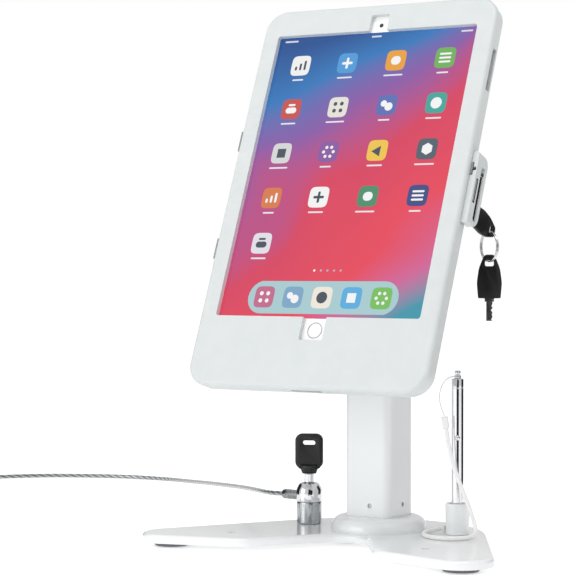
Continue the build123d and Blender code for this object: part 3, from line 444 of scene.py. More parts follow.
def lit_display():
    """Lit display behind glass: a soft generic sweep of colour that glows evenly, under a glossy cover."""
    made, tree, shader, where = begin("lit_display", IOR=1.52, Roughness=0.06, Emission_Strength=0.95)
    shader.inputs["Base Color"].default_value = srgb("#050506")
    warp = add(tree, "ShaderNodeTexNoise", {"Vector": where, "Scale": 7.0, "Detail": 1.0, "Distortion": 0.5})
    down = add(tree, "ShaderNodeVectorMath", {0: where, 1: (2.3, 0.0, -3.9)}, operation="DOT_PRODUCT")
    bent = add(tree, "ShaderNodeMath", {0: warp.outputs["Fac"], 1: 0.7, 2: 1.15}, operation="MULTIPLY_ADD")
    moved = add(tree, "ShaderNodeMath", {0: down.outputs["Value"], 1: bent.outputs[0]}, operation="ADD")
    stops = [(0.0, "#1d4f93"), (0.2, "#2f78bd"), (0.36, "#8a5aa8"), (0.5, "#d8405f"), (0.72, "#e8465a")]
    stops += [(0.86, "#d0659a"), (1.0, "#3f97ad")]
    tree.links.new(ramp(tree, moved.outputs[0], stops), shader.inputs["Emission Color"])
    return made


def lit_tiles():
    """Lit tiles of the display, each in its own colour from the mesh."""
    made, tree, shader, _ = begin("lit_tiles", IOR=1.52, Roughness=0.08, Emission_Strength=0.95)
    shader.inputs["Base Color"].default_value = srgb("#050506")
    tint = add(tree, "ShaderNodeAttribute", attribute_name="tint")
    tree.links.new(tint.outputs["Color"], shader.inputs["Emission Color"])
    return made


def lens_glass():
    """Dark lens under glass, with a faint purple bloom of its coating."""
    made, tree, shader, where = begin("lens_glass", IOR=1.6, Coat_Weight=1.0, Coat_Roughness=0.02)
    skin(tree, shader, where, 2 * MM, 0.0005 * MM, (0.05, 0.1), ("#0a0a10", "#15131f"))
    return made


MAKERS = {
    maker.__name__: maker
    for maker in (
        powder_coated_steel,
        powder_coated_column,
        moulded_abs,
        black_abs,
        rubber,
        foam,
        zinc_plate,
        chrome,
        satin_chrome,
        turned_nickel,
        cast_alloy,
        nylon,
        jacketed_rope,
        white_vinyl,
        clear_line,
        white_glass,
        anodised_back,
        lit_display,
        lit_tiles,
        lens_glass,
    )
}


def material(name):
    """The finish of that name, made the first time it is asked for."""
    return bpy.data.materials.get(name) or MAKERS[name]()


# --- settings -------------------------------------------------------------------------------------
class StandSizes(bpy.types.PropertyGroup):
    """Sizes of the pieces that are built round the frame."""

    cable_length: bpy.props.FloatProperty(
        name="Cable length", description="Whole length of the security cable", default=1.8, unit="LENGTH"
    )
    cable_diameter: bpy.props.FloatProperty(
        name="Cable diameter", description="Thickness over the jacket", default=0.0035, unit="LENGTH"
    )
    tether_diameter: bpy.props.FloatProperty(
        name="Tether diameter", description="Thickness of the vinyl cord", default=0.003, unit="LENGTH"
    )
    string_diameter: bpy.props.FloatProperty(
        name="Line diameter", description="Thickness of the clear line", default=0.0009, unit="LENGTH"
    )
    tile_size: bpy.props.FloatProperty(
        name="Tile size", description="Side of a tile on the display", default=0.0155, unit="LENGTH"
    )


class StandColours(bpy.types.PropertyGroup):
    """Colours of the room."""

    floor: bpy.props.FloatVectorProperty(
        name="Floor",
        description="Colour of the plain floor",
        default=srgb("#f4f4f4")[:3],
        subtype="COLOR",
        size=3,
    )


# --- stage ----------------------------------------------------------------------------------------
def sheet(name, corners, finish, seen=True):
    """A flat stage panel with these four corners."""
    mesh = bpy.data.meshes.new(name)
    mesh.from_pydata(corners, [], [(0, 1, 2, 3)])
    made = bpy.data.objects.new(name, mesh)
    bpy.context.scene.collection.objects.link(made)
    mesh.materials.append(finish)
    made.visible_camera = seen
    made.visible_shadow = seen
    made.visible_diffuse = seen
    return made


# Dark panels that only reflections show: bearing and half width in degrees, and height.
CARDS = [("card_front", 38.0, 20.0, 0.34), ("card_left", -92.0, 24.0, 0.3), ("card_right", 134.0, 30.0, 0.3)]
CARD_AWAY = 0.44


def plain(name, colour, rough):
    """One plain colour, for the stage."""
    made, _, shader, _ = begin(name, Roughness=rough)
    shader.inputs["Base Color"].default_value = colour
    return made


def as_seen(tree, cast, seen):
    """One strength for the light that falls on the object, and another for what the camera sees."""
    camera_ray = add(tree, "ShaderNodeLightPath").outputs["Is Camera Ray"]
    return add(tree, "ShaderNodeMapRange", {"Value": camera_ray, "To Min": cast, "To Max": seen}).outputs[0]


def lamp(name, place, aim, size, power):
    """A soft rectangular light of this size in metres and power in watts, turned towards a point."""
    light = bpy.data.lights.new(name, "AREA")
    light.shape = "RECTANGLE"
    light.size, light.size_y = size
    light.energy = power
    made = bpy.data.objects.new(name, light)
    made.location = place
    made.rotation_euler = (Vector(aim) - Vector(place)).to_track_quat("-Z", "Y").to_euler()
    bpy.context.scene.collection.objects.link(made)


# Strength of the floor's own light and of the sky: as they light the object, and as the camera sees them.
FLOOR_GLOW, SKY_GLOW = (0.28, 0.47), (0.68, 1.0)
# Soft lights: name, place, aim, size in metres and power in watts.
LAMPS = [
    ("overhead", (0.3, -0.6, 1.8), (0, -0.05, 0.1), (1.6, 1.0), 11.0),
    ("front_left", (-1.1, -2.1, 0.7), (0, 0, 0.1), (1.4, 1.2), 12.0),
]
CAMERA_TARGET = (-0.0761, 0.0, 0.1775)
CAMERA_BEARING, CAMERA_DIP = math.radians(32.61), math.radians(0.885)
CAMERA_AWAY, CAMERA_LENS, CAMERA_SENSOR = 1.518, 132.1, 36.0
FLOOR_HALF, FLOOR_Z = 30.0, -0.0006


class STAND_OT_stage(bpy.types.Operator):
    """Add the camera, the floor and the studio light"""

    bl_idname = "stand.stage"
    bl_label = "Stage"

    def execute(self, context):
        self.camera(context.scene)
        self.floor(context.scene)
        dark = plain("dark_card", srgb("#101112"), 0.9)
        for name, turn, half, tall in CARDS:
            ends = np.radians([turn - half, turn + half])
            p, q = ((CARD_AWAY * math.sin(a), -CARD_AWAY * math.cos(a)) for a in ends)
            sheet(name, [(*p, 0.0), (*q, 0.0), (*q, tall), (*p, tall)], dark, False)
        self.sky(context.scene)
        for each in LAMPS:
            lamp(*each)
        context.scene.view_settings.view_transform = "Standard"
        return {"FINISHED"}

    def camera(self, scene):
        """The camera, a given distance back from its target along its line of sight."""
        camera = bpy.data.cameras.new("camera")
        camera.sensor_width = CAMERA_SENSOR
        camera.lens = CAMERA_LENS
        camera.clip_start, camera.clip_end = 0.05, 50
        eye = bpy.data.objects.new("camera", camera)
        level, east, south = math.cos(CAMERA_DIP), math.sin(CAMERA_BEARING), math.cos(CAMERA_BEARING)
        back = Vector((east * level, -south * level, math.sin(CAMERA_DIP)))
        eye.location = Vector(CAMERA_TARGET) + back * CAMERA_AWAY
        eye.rotation_mode = "QUATERNION"
        eye.rotation_quaternion = (-back).to_track_quat("-Z", "Y")
        scene.collection.objects.link(eye)
        scene.camera = eye

    def floor(self, scene):
        """A wide pale floor that looks as bright as the sky."""
        floor = plain("pale_floor", (*scene.stand_colours.floor, 1.0), 0.6)
        glow = floor.node_tree.nodes["Principled BSDF"]
        glow.inputs["Emission Color"].default_value = (1.0, 1.0, 1.0, 1.0)
        floor.node_tree.links.new(as_seen(floor.node_tree, *FLOOR_GLOW), glow.inputs["Emission Strength"])
        corners = [(-1, -1), (1, -1), (1, 1), (-1, 1)]
        sheet("floor", [(x * FLOOR_HALF, y * FLOOR_HALF, FLOOR_Z) for x, y in corners], floor)

    def sky(self, scene):
        """An even white sky."""
        world = bpy.data.worlds.new("studio")
        world.use_nodes = True
        tree = world.node_tree
        tree.nodes.clear()
        white = {"Color": (1.0, 1.0, 1.0, 1.0), "Strength": as_seen(tree, *SKY_GLOW)}
        sky = add(tree, "ShaderNodeBackground", white)
        add(tree, "ShaderNodeOutputWorld", {"Surface": sky.outputs[0]})
        scene.world = world


# --- cords ----------------------------------------------------------------------------------------
CABLE_ROUTE = [
    (-17.5, -15.0, 28.6),
    (-24.0, -20.6, 28.2),
    (-31.0, -36.0, 27.3),
    (-37.5, -62.0, 25.8),
    (-45.5, -97.0, 23.4),
    (-56.0, -142.0, 19.9),
    (-68.5, -192.0, 15.8),
    (-82.7, -247.0, 11.2),
    (-98.5, -301.0, 6.6),
    (-114.5, -345.0, 3.4),
    (-131.0, -369.0, 2.0),
    (-149.7, -381.5, 1.8),
    (-168.0, -388.6, 1.76),
    (-187.5, -393.0, 1.75),
    (-207.0, -395.6, 1.76),
    (-230.0, -396.4, 1.77),
    (-254.0, -392.0, 1.76),
    (-277.0, -384.0, 1.75),
    (-297.4, -374.8, 1.76),
]
CABLE_Z = 1.75  # height of the cable's middle where it lies on the table
COIL_AT = (-307.0, -339.5)
# Where the last turn comes down from the coil: angle, radius and height.
LEAVING = [(72.0, 29.3, 8.88), (94.0, 31.0, 8.6), (116.0, 33.6, 7.0), (138.0, 34.2, 4.0), (160.0, 33.6, 2.1)]
LOOP_AT = (-73.6, -30.3)
STRING_ROUTE = [(-9.4, 4.6, 90.6), (-12.0, 3.9, 97.4), (-12.9, 3.2, 103.6), (-11.8, 2.6, 109.4)]
STRING_ROUTE += [(-9.2, 1.8, 114.4), (-5.6, 0.9, 117.2), (-2.6, 0.2, 117.6)]
TETHER_ROUTE = [
    (-7.4, -12.8, 11.8),
    (-14.6, -10.6, 10.9),
    (-21.4, -2.2, 10.65),
    (-24.4, 9.2, 10.6),
    (-23.4, 20.4, 10.55),
    (-18.0, 30.0, 10.6),
    (-8.8, 35.4, 10.55),
    (1.8, 33.2, 10.6),
    (9.0, 26.5, 10.9),
    (11.2, 20.0, 14.0),
    (9.7, 15.6, 20.6),
    (6.9, 13.2, 29.0),
    (3.4, 11.4, 38.2),
    (-0.1, 9.8, 47.4),
    (-3.2, 8.4, 56.6),
    (-5.6, 7.1, 65.8),
    (-7.2, 5.9, 74.5),
    (-8.2, 5.0, 82.6),
]
TAIL_ROUTE = [(-31.8, -3.0), (-33.6, -12.0), (-39.0, -21.5), (-47.5, -28.0), (-57.0, -30.3), (-66.0, -30.3)]
LOOP_ROUTE = [(0, 0), (-8, 0), (-19, 3.4), (-31, 8.4), (-43, 8.8), (-51, 1.8), (-52, -8.2), (-43, -14.4)]
LOOP_ROUTE += [(-31, -12.9), (-19, -7.6), (-8, -3.7), (0, -3.7), (14.0, -3.7)]


def coil_turns():
    """Angles, radii and heights of the coil's turns: the radius and height step from lay to lay."""
    radii = [29.15, 25.5, 21.85, 21.85, 25.5, 29.15, 29.15]
    lays = np.column_stack([radii, [1.76, 1.76, 1.76, 5.32, 5.32, 5.32, 8.88]])
    start, per_turn, ease = 140.0, 16, 70.0
    last = 540.0 - start + 360.0 * (len(lays) - 2) + 60.0
    angle = np.arange(0.0, last, 360.0 / per_turn)
    turn = np.minimum((angle // 360.0).astype(int), len(lays) - 1)
    into = angle - 360.0 * turn
    share = np.clip((into - (360.0 - ease)) / ease, 0, 1)
    share = share * share * (3 - 2 * share)
    after = np.minimum(turn + 1, len(lays) - 1)
    step = lays[turn] * (1 - share[:, None]) + lays[after] * share[:, None]
    a = np.radians(start + angle)
    return a, step[:, 0], step[:, 1]


def cable_points():
    """Control points of the whole cable: out of the lock, over the table, round the coil, to its loop."""
    middle = from_axis(BARREL_AT, [(*COIL_AT, 0.0)])[0] / MM
    a, r, z = coil_turns()
    turns = np.column_stack([middle[0] + r * np.cos(a), middle[1] + r * np.sin(a), z])
    turn, out, down = np.array(LEAVING).T
    a = np.radians(turn)
    leaving = np.column_stack([middle[0] + out * np.cos(a), middle[1] + out * np.sin(a), down])
    tail = [(middle[0] + x, middle[1] + y, CABLE_Z) for x, y in TAIL_ROUTE]
    x0, y0 = middle[0] + LOOP_AT[0], middle[1] + LOOP_AT[1]
    loop = [(x0 + x, y0 + y, CABLE_Z) for x, y in LOOP_ROUTE]
    rest = np.concatenate([turns, leaving, tail, loop]) * MM
    return np.concatenate([from_axis(BARREL_AT, CABLE_ROUTE), rest])


class STAND_OT_cable(bpy.types.Operator):
    """Add the steel security cable with its coil and end loop"""

    bl_idname = "stand.cable"
    bl_label = "Security cable"

    def execute(self, context):
        sizes = context.scene.stand_sizes
        line, at = even(smooth_line(cable_points()), 1.6 * MM)
        strands, lay_length, sides = 6, 0.021, 24
        a = np.linspace(0, 2 * math.pi, sides, endpoint=False)
        lobes = np.abs(np.cos(strands * (a[None] - at[:, None] * 2 * math.pi / lay_length) / 2))
        radius = sizes.cable_diameter / 2 * (0.90 + 0.10 * lobes)
        verts, faces = closed_tube(along(line, radius, sides))
        cable = mesh_piece("steel_cable", verts, faces, "base", "jacketed_rope", "cable_jacket")
        uv_along(cable, len(line), sides, at, 1.0)
        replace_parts(cable, "security_cable", "cable_coil", "cable_tail", "cable_loop")
        return {"FINISHED"}


class STAND_OT_tether(bpy.types.Operator):
    """Add the stylus tether: vinyl cord and clear line"""

    bl_idname = "stand.tether"
    bl_label = "Stylus tether"

    def execute(self, context):
        sizes = context.scene.stand_sizes
        line, _ = even(smooth_line(from_axis(PEN_AT, TETHER_ROUTE)), 1.2 * MM)
        verts, faces = closed_tube(along(line, sizes.tether_diameter / 2, 16))
        cord = mesh_piece("vinyl_tether", verts, faces, "base", "white_vinyl", "white_vinyl")
        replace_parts(cord, "tether_cord")
        thin, _ = even(smooth_line(from_axis(PEN_AT, STRING_ROUTE)), 0.6 * MM)
        verts, faces = closed_tube(along(thin, sizes.string_diameter / 2, 12))
        line_piece = mesh_piece("clear_line", verts, faces, None, "clear_line", "clear_line")
        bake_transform(line_piece)
        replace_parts(line_piece, "tether_string")
        return {"FINISHED"}


# --- plain parts ----------------------------------------------------------------------------------
NODE_FINISHES = {
    "powder_coated_steel": ["base_plate", "collar"],
    "powder_coated_column": ["column"],
    "moulded_abs": ["rear_shell", "front_frame", "lock_housing"],
    "rubber": ["feet", "foot_centre", "corner_bumpers"],
    "foam": ["back_pads"],
    "zinc_plate": [
        "base_screws",
        "column_flange",
        "column_screws",
        "tilt_washers",
        "tilt_bolt",
        "tilt_nut",
        "spring_washers",
        "swivel_nut",
        "plate_screws",
        "swivel_stud",
        "hinge_pins",
        "rear_knuckles",
        "frame_knuckles",
        "keeper",
        "key_ring",
        "lock_anchor",
    ],
    "cast_alloy": ["column_head", "tilt_yoke", "swivel_plate", "lock_sleeve", "lock_plug"],
    "nylon": ["swivel_washer"],
    "satin_chrome": ["barrel_body"],
    "chrome": ["barrel_band", "lock_bolt", "slot_liner", "tube_key_shaft", "pen_tip"],
    "turned_nickel": ["lock_core", "case_key_blade", "spare_key_blade"],
    "black_abs": ["case_key_head", "spare_key_head", "tube_key_head"],
    "white_glass": ["tablet_bezel", "home_button"],
    "anodised_back": ["tablet_body"],
    "lit_display": ["tablet_screen"],
}


class STAND_OT_finishes(bpy.types.Operator):
    """Give each frame part its finish"""

    bl_idname = "stand.finishes"
    bl_label = "Finishes of the frame parts"

    def execute(self, context):
        for finish, names in NODE_FINISHES.items():
            for name in names:
                for place in NODES[name].material_slots:
                    place.material = material(finish)
        return {"FINISHED"}


# Parts whose edges show: the softened piece, its edge radius in millimetres and its slot.
SOFT_EDGES = {
    "case_key_head": ("key_head_in_lock", 0.7, "black_key"),
    "spare_key_head": ("key_head_spare", 0.7, "black_key"),
    "tube_key_head": ("key_head_tubular", 1.1, "black_key"),
    "case_key_blade": ("key_blade_in_lock", 0.15, "nickel"),
    "spare_key_blade": ("key_blade_spare", 0.15, "nickel"),
    "lock_bolt": ("lock_bolt_polished", 0.3, "chrome"),
    "barrel_body": ("barrel_turned", 0.3, "nickel"),
    "barrel_band": ("barrel_band_polished", 0.3, "chrome"),
    "tube_key_shaft": ("key_shaft_tubular", 0.3, "chrome"),
}


def round_edges(obj, radius, segments=2, angle=40):
    """A bevel with this radius in millimetres on every edge sharper than this angle in degrees."""
    bevel = obj.modifiers.new("round_edges", "BEVEL")
    bevel.width = radius * MM
    bevel.segments = segments
    bevel.limit_method = "ANGLE"
    bevel.angle_limit = math.radians(angle)
    bevel.harden_normals = True
    bevel.use_clamp_overlap = False


def softened(node, name, radius):
    """A copy of a part with its sharp edges rounded: doubles merged, flat faces joined, then a bevel."""
    source = NODES[node]
    work = bmesh.new()
    work.from_mesh(source.data)
    bmesh.ops.remove_doubles(work, verts=work.verts, dist=1e-6)
    bmesh.ops.dissolve_limit(work, angle_limit=math.radians(1.0), verts=work.verts, edges=work.edges)
    mesh = bpy.data.meshes.new(name)
    work.to_mesh(mesh)
    work.free()
    mesh.materials.clear()
    mesh.materials.append(source.material_slots[0].material)
    mesh.polygons.foreach_set("use_smooth", np.ones(len(mesh.polygons), bool))
    made = bpy.data.objects.new(name, mesh)
    bpy.context.scene.collection.objects.link(made)
    round_edges(made, radius, segments=3, angle=35)
    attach(made, source["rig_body"])
    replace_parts(made, node)
    return made


class STAND_OT_edges(bpy.types.Operator):
    """Round the edges of the lock, its keys and the barrel"""

    bl_idname = "stand.edges"
    bl_label = "Rounded edges"

    def execute(self, context):
        for node, (name, radius, slot) in SOFT_EDGES.items():
            softened(node, name, radius)
        return {"FINISHED"}


# --- fittings -------------------------------------------------------------------------------------
class STAND_OT_ferrules(bpy.types.Operator):
    """Add the cable's ferrule, the end crimp and the tether's crimp"""

    bl_idname = "stand.ferrules"
    bl_label = "Ferrules and crimps"

    def execute(self, context):
        ends = from_axis(BARREL_AT, [(-7.0, -6.0, 28.6), (-17.9, -15.3, 28.58)])
        share = np.array([0, 0, 0.02, 0.42, 0.45, 0.50, 0.53, 0.95, 1.0, 1.0])
        radius = np.array([0.1, 3.2, 3.5, 3.5, 3.1, 3.1, 3.5, 3.5, 3.1, 0.1]) * MM
        path = ends[0] + share[:, None] * (ends[1] - ends[0])
        path += np.linspace(0, 1, len(path))[:, None] * (ends[1] - ends[0]) * 1e-3
        verts, faces = closed_tube(along(path, radius[:, None], 40))
        ferrule = mesh_piece("cable_end_ferrule", verts, faces, "base", "turned_nickel", "nickel")
        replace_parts(ferrule, "cable_ferrule")
        round_edges(ferrule, 0.25)
        for node, name, radius, slot, finish in (
            ("crimp_sleeve", "cable_crimp", 0.6, "alloy", "cast_alloy"),
            ("tether_sleeve", "tether_crimp", 0.5, "white_vinyl", "white_vinyl"),
        ):
            crimp = softened(node, name, radius)
            crimp.data.materials.clear()
            crimp.data.materials.append(material(finish))
        return {"FINISHED"}


PEN_SIDES = 96
STUD_R, STUD_AT = 1.75, (-0.4, 3.85, 75.5)
KNURL_Z, KNURL_HIGH = (116.2, 118.2), 0.07
EYELET_R, EYELET_AT = 2.35, (-6.9, -11.2, 11.8)


def knurl(z, a):
    """Ridges round the end cap: 24 of them, 0.07 mm high, between two heights."""
    return KNURL_HIGH * np.cos(24 * a) * ((z > KNURL_Z[0]) & (z < KNURL_Z[1]))


class STAND_OT_stylus(bpy.types.Operator):
    """Add the stylus and its cup"""

    bl_idname = "stand.stylus"
    bl_label = "Stylus and cup"

    def execute(self, context):
        self.barrel()
        self.end()
        self.cup()
        self.lug()
        return {"FINISHED"}

    def barrel(self):
        """The chromed barrel and the round stud on its side."""
        profile = [(0.05, 12.0), (3.3, 12.0), (3.9, 12.25), (4.15, 12.9), (4.15, 33.0), (4.15, 60.0)]
        profile += [(4.15, 96.0), (4.15, 109.2), (4.02, 109.35), (4.02, 109.75), (4.15, 109.9)]
        profile += [(4.15, 115.2), (4.0, 115.75), (3.6, 116.0), (2.4, 116.0), (0.05, 116.0)]
        verts, faces = closed_tube(turned(profile, PEN_AT, PEN_SIDES))
        body = mesh_piece("stylus_barrel", verts, faces, "pen", "chrome", "chrome")
        round_edges(body, 0.08)
        a = np.linspace(0, math.pi, 24)
        knob = np.column_stack([np.maximum(np.sin(a), 0.02), -np.cos(a)]) * STUD_R
        stud = turned(knob, (0.0, 0.0), 32) + from_axis(PEN_AT, [STUD_AT])[0]
        verts, faces = closed_tube(stud)
        clip = mesh_piece("stylus_stud", verts, faces, "pen", "chrome", "chrome")
        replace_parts(body, "pen_body")
        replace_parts(clip, "pen_body")

    def end(self):
        """The knurled end cap."""
        profile = [(0.05, 116.0), (2.0, 116.0), (2.2, 116.25), (2.2, 118.1), (1.95, 118.4), (1.5, 118.45)]
        profile += [(1.5, 119.1), (1.95, 119.2), (2.1, 119.5), (2.1, 121.0), (1.9, 121.45), (1.4, 121.6)]
        profile += [(0.05, 121.6)]
        verts, faces = closed_tube(turned(profile, PEN_AT, PEN_SIDES, knurl))
        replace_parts(mesh_piece("stylus_end", verts, faces, "pen", "chrome", "chrome"), "pen_tip")

    def cup(self):
        """The weighted cup, with a bore for the barrel."""
        profile = [(1.55, 9.0), (7.6, 9.0), (8.1, 9.3), (8.1, 10.2), (7.8, 10.6), (7.95, 11.2)]
        profile += [(8.5, 29.2), (8.45, 30.0), (8.0, 30.45), (7.2, 30.5), (6.3, 30.3), (5.85, 29.8)]
        profile += [(4.75, 12.2), (4.4, 11.6), (1.55, 11.6)]
        verts, faces = closed_profile(turned(profile, PEN_AT, PEN_SIDES))
        holder = mesh_piece("stylus_cup", verts, faces, "base", "powder_coated_steel", "white_coat")
        round_edges(holder, 0.2)
        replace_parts(holder, "pen_cup")

    def lug(self):
        """The eyelet low on the cup, which the tether starts from."""
        theta = np.linspace(0, 2 * math.pi, 48, endpoint=False)
        centre = from_axis(PEN_AT, [EYELET_AT])[0]
        out = np.array([*(-0.3 * ACROSS - 0.95 * NEAR), 0.0])
        out /= np.linalg.norm(out)
        up = np.array([0, 0, 1.0])
        side = np.cross(out, up)
        ring = centre + (EYELET_R * MM) * (np.cos(theta)[:, None] * side + np.sin(theta)[:, None] * up)
        eye = eyelet(ring, out, centre)
        lug = mesh_piece("tether_eyelet", *eye, "base", "powder_coated_steel", "white_coat")
        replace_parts(lug, "pen_cup")


def eyelet(ring, out, centre):
    """A rounded ring round a hole: each point of the ring carries a small oval section."""
    b = np.linspace(0, 2 * math.pi, 16, endpoint=False)
    radial = ring - centre
    radial /= np.linalg.norm(radial, axis=1)[:, None]
    c, s = np.cos(b)[None, :, None], np.sin(b)[None, :, None]
    rings = ring[:, None] + c * radial[:, None] * 0.75 * MM + s * out * 1.5 * MM
    n, m = rings.shape[:2]
    r, c = np.meshgrid(np.arange(n), np.arange(m), indexing="ij")
    r2, c2 = (r + 1) % n, (c + 1) % m
    faces = np.stack([r * m + c, r2 * m + c, r2 * m + c2, r * m + c2], -1).reshape(-1, 4)
    return rings.reshape(-1, 3), faces


class STAND_OT_ring(bpy.types.Operator):
    """Add the split ring that joins the two flat keys"""

    bl_idname = "stand.ring"
    bl_label = "Key ring"

    def execute(self, context):
        low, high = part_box("key_ring")
        centre = np.array((low + high) / 2)
        t = np.linspace(0, 2 * math.pi * 1.97, 240)
        turn = math.radians(RING_TURN)
        flat = np.array([math.cos(turn), math.sin(turn), 0.0])
        out = np.array([-math.sin(turn), math.cos(turn), 0.0])
        a = t + 2.2
        spread = RING_R * (np.cos(a)[:, None] * flat + np.sin(a)[:, None] * np.array([0, 0, 1.0]))
        shift = (t / (2 * math.pi) - 1)[:, None] * 2 * RING_WIRE * out
        rings = along(centre + (spread + shift) * MM, RING_WIRE * MM, 16)
        verts, faces = closed_tube(rings)
        ring = mesh_piece("split_ring", verts, faces, "ring", "chrome", "steel")
        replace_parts(ring, "key_ring")
        return {"FINISHED"}


# --- display --------------------------------------------------------------------------------------
TILE_COLOURS = """
    #f2f2f0 #4f9bd9 #e9a23b #6fb25a #c9504c #e8e4da #5c6fb5 #3fa79b
    #d8d8d8 #8a5aa3 #efc64e #54606e #d97b4a #f5f5f5 #4b8f6b #3c4a86
    #e3e0ea #c46a8d #7fa8c9 #f0e9dc #5aaee0 #79c05e
""".split()
DOCK_U = [-46.0, -23.0, 0.0, 23.0, 46.0]
GRID_U = [-58.0, -19.5, 19.5, 58.0]
GRID_V = [84.0, 50.0, 16.0, -18.0, -52.0]
GRID_TILES = 17
DOCK_V, DOTS_V, STATUS_V, LABEL_V = -91.5, -72.0, 103.6, -11.2
# Bottom and top of each layer of the display above the glass.
LAYERS = {
    "dock": (0.0, 0.02),
    "tile": (0.01, 0.04),
    "mark": (0.03, 0.06),
    "label": (0.03, 0.05),
    "dot": (0.0, 0.03),
}


def squircle(size, count=40, power=4.5):
    """Outline of a rounded square, where x to a power and y to that power sum to one."""
    a = np.linspace(0, 2 * math.pi, count, endpoint=False)
    c, s = np.cos(a), np.sin(a)
    x, y = np.sign(c) * np.abs(c) ** (2 / power), np.sign(s) * np.abs(s) ** (2 / power)
    return np.column_stack([x, y]) * size / 2


def bar(width, height, at=(0, 0)):
    """Outline of a bar with round ends, in millimetres."""
    a = np.linspace(0, 2 * math.pi, 24, endpoint=False)
    r = min(width, height) / 2
    shift = np.column_stack([np.sign(np.cos(a)) * (width / 2 - r), np.sign(np.sin(a)) * (height / 2 - r)])
    return np.column_stack([np.cos(a), np.sin(a)]) * r + shift + at


def disc(radius, at=(0, 0), sides=28):
    """Outline of a disc, or of a regular polygon with few sides, in millimetres."""
    a = np.linspace(0, 2 * math.pi, sides, endpoint=False) + math.pi / sides
    return np.column_stack([np.cos(a), np.sin(a)]) * radius + at


def glyph(kind):
    """Plain marks for a tile: bars, dots, discs and simple polygons, as outlines in millimetres."""
    s = math.sqrt(3) / 2
    marks = [
        [disc(4.2)],
        [bar(1.8, h, (x, h / 2 - 3.6)) for x, h in ((-3.6, 3.2), (0, 5.4), (3.6, 7.4))],
        [disc(1.5, (x, y)) for x in (-2.6, 2.6) for y in (-2.6, 2.6)],
        [disc(4.6, (0, -0.6), 3)],
        [bar(9.2, 1.5, (0, y)) for y in (-3, 0, 3)],
        [disc(4.8, (0, 0), 4)],
        [bar(2.0, 8.6), bar(8.6, 2.0)],
        [disc(2.4, (-2.5, 1.3)), disc(3.1, (1.7, -1.2))],
        [disc(4.4, (0, 0), 6)],
        [bar(8.8, 4.6, (0, -1.0)), bar(5.6, 1.6, (0, 3.2))],
        [disc(1.2, (3.9 * math.cos(k * math.pi / 3), 3.9 * math.sin(k * math.pi / 3))) for k in range(6)],
        [bar(7.6, 7.6 * s)],
    ]
    return marks[kind % len(marks)]


def prisms(shapes):
    """Thin plates on the display, each an outline with a centre, layer and colour."""
    verts, faces, tints = [], [], []
    for outline, (u, v), layer, code in shapes:
        n, start = len(outline), sum(len(x) for x in verts)
        for h in LAYERS[layer]:
            verts.append(panel(outline[:, 0] + u, outline[:, 1] + v, GLASS_H + h))
        c = np.arange(n)
        nxt = (c + 1) % n
        faces += (np.column_stack([c, nxt, nxt + n, c + n]) + start).tolist()
        faces += [(c[::-1] + start).tolist(), (c + n + start).tolist()]
        tints.append(np.tile(srgb(code), (2 * n, 1)))
    return np.concatenate(verts), faces, np.concatenate(tints)


def display_piece(name, shapes):
    """One piece of the lit display, with each plate's colour on its points."""
    verts, faces, tints = prisms(shapes)
    made = mesh_piece(name, verts, faces, "case", "lit_tiles", "screen", smooth=False)
    colours = made.data.color_attributes.new("tint", "FLOAT_COLOR", "POINT")
    colours.data.foreach_set("color", tints.astype(np.float32).ravel())
    return made


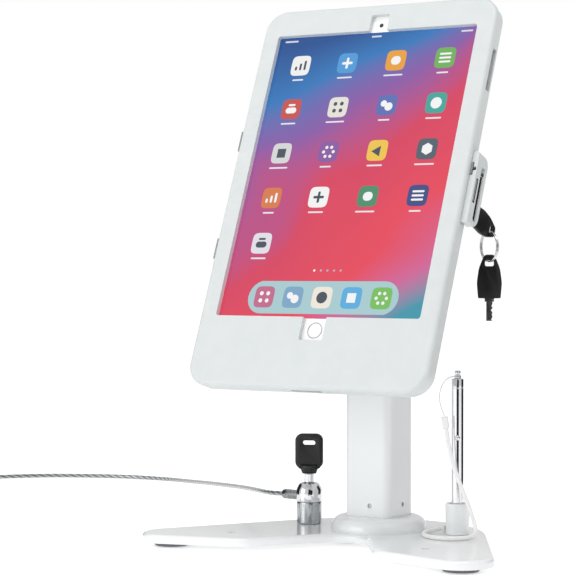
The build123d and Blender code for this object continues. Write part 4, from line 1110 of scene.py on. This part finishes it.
class STAND_OT_display(bpy.types.Operator):
    """Add the display's plain tiles, the camera and the button's ring"""

    bl_idname = "stand.display"
    bl_label = "Display"

    def execute(self, context):
        size = context.scene.stand_sizes.tile_size / MM
        spots = [(u, SCREEN_V + v) for v in GRID_V for u in GRID_U][:GRID_TILES]
        spots += [(u, SCREEN_V + DOCK_V) for u in DOCK_U]
        base = [(bar(118.0, 24.0), (0.0, SCREEN_V + DOCK_V), "dock", "#a9cdd2")]
        marks = []
        for k, (spot, code) in enumerate(zip(spots, TILE_COLOURS)):
            base.append((squircle(size), spot, "tile", code))
            pale = sum(srgb(code)[:3]) > 1.5
            for outline in glyph(k * 5 + 1):
                marks.append((outline, spot, "mark", "#46505c" if pale else "#f6f6f6"))
            if k < GRID_TILES:
                label = bar(9.0 + 3.0 * ((k * 7) % 3), 1.2)
                marks.append((label, (spot[0], spot[1] + LABEL_V), "label", "#e9e9ef"))
        for k in range(5):
            code = "#ffffff" if k == 0 else "#b9b4c8"
            marks.append((disc(0.8), (5.2 * (k - 2), SCREEN_V + DOTS_V), "dot", code))
        for u, width in ((-70.0, 11.0), (0.0, 8.0), (71.0, 9.0)):
            marks.append((bar(width, 1.3), (u, SCREEN_V + STATUS_V), "dot", "#dcdce6"))
        display_piece("display_tiles", base)
        display_piece("display_marks", marks)
        self.small_rings()
        return {"FINISHED"}

    def small_rings(self):
        """The ring round the button, and the camera's lens."""
        rim = [(5.0, 0.0), (5.75, 0.0), (5.75, 0.08), (5.55, 0.14), (5.2, 0.14), (5.0, 0.08)]
        disc_piece("button_ring", rim, (0.0, -100.0), "anodised_back", "steel", closed=True)
        lens = [(0.02, 0.0), (1.6, 0.0), (1.6, 0.05), (1.3, 0.1), (0.02, 0.12)]
        disc_piece("camera_lens", lens, (2.0, 127.0), "lens_glass", "screen")


def disc_piece(name, profile, spot, finish, slot, closed=False):
    """A small piece on the glass: a profile of radius and height turned round the panel's normal."""
    profile = np.asarray(profile, float)
    a = np.linspace(0, 2 * math.pi, 64, endpoint=False)
    u = spot[0] + profile[:, :1] * np.cos(a)
    v = spot[1] + profile[:, :1] * np.sin(a)
    rings = panel(u, v, GLASS_H + profile[:, 1:2] + 0 * a)
    verts, faces = closed_profile(rings) if closed else closed_tube(rings)
    return mesh_piece(name, verts, faces, "case", finish, slot)


# --- add-on ---------------------------------------------------------------------------------------
STEPS = ["stage", "ferrules", "cable", "tether", "finishes", "edges", "stylus", "ring", "display"]


class STAND_PT_panel(bpy.types.Panel):
    """Lists the stand's pieces"""

    bl_label = "Tablet stand"
    bl_idname = "STAND_PT_panel"
    bl_space_type = "VIEW_3D"
    bl_region_type = "UI"
    bl_category = "Tablet stand"

    def draw(self, context):
        for step in STEPS:
            self.layout.operator("stand." + step)
        for name in StandSizes.__annotations__:
            self.layout.prop(context.scene.stand_sizes, name)


CLASSES = (
    StandSizes,
    StandColours,
    STAND_OT_stage,
    STAND_OT_cable,
    STAND_OT_tether,
    STAND_OT_finishes,
    STAND_OT_edges,
    STAND_OT_ferrules,
    STAND_OT_stylus,
    STAND_OT_ring,
    STAND_OT_display,
    STAND_PT_panel,
)


def register():
    """Register the classes, and give each scene its settings."""
    for cls in CLASSES:
        bpy.utils.register_class(cls)
    bpy.types.Scene.stand_sizes = bpy.props.PointerProperty(type=StandSizes)
    bpy.types.Scene.stand_colours = bpy.props.PointerProperty(type=StandColours)


def unregister():
    """Take the settings and the classes away again."""
    del bpy.types.Scene.stand_colours
    del bpy.types.Scene.stand_sizes
    for cls in reversed(CLASSES):
        bpy.utils.unregister_class(cls)


def main():
    """Build every piece in order."""
    register()
    for step in STEPS:
        getattr(bpy.ops.stand, step)()


if __name__ == "__main__":
    main()
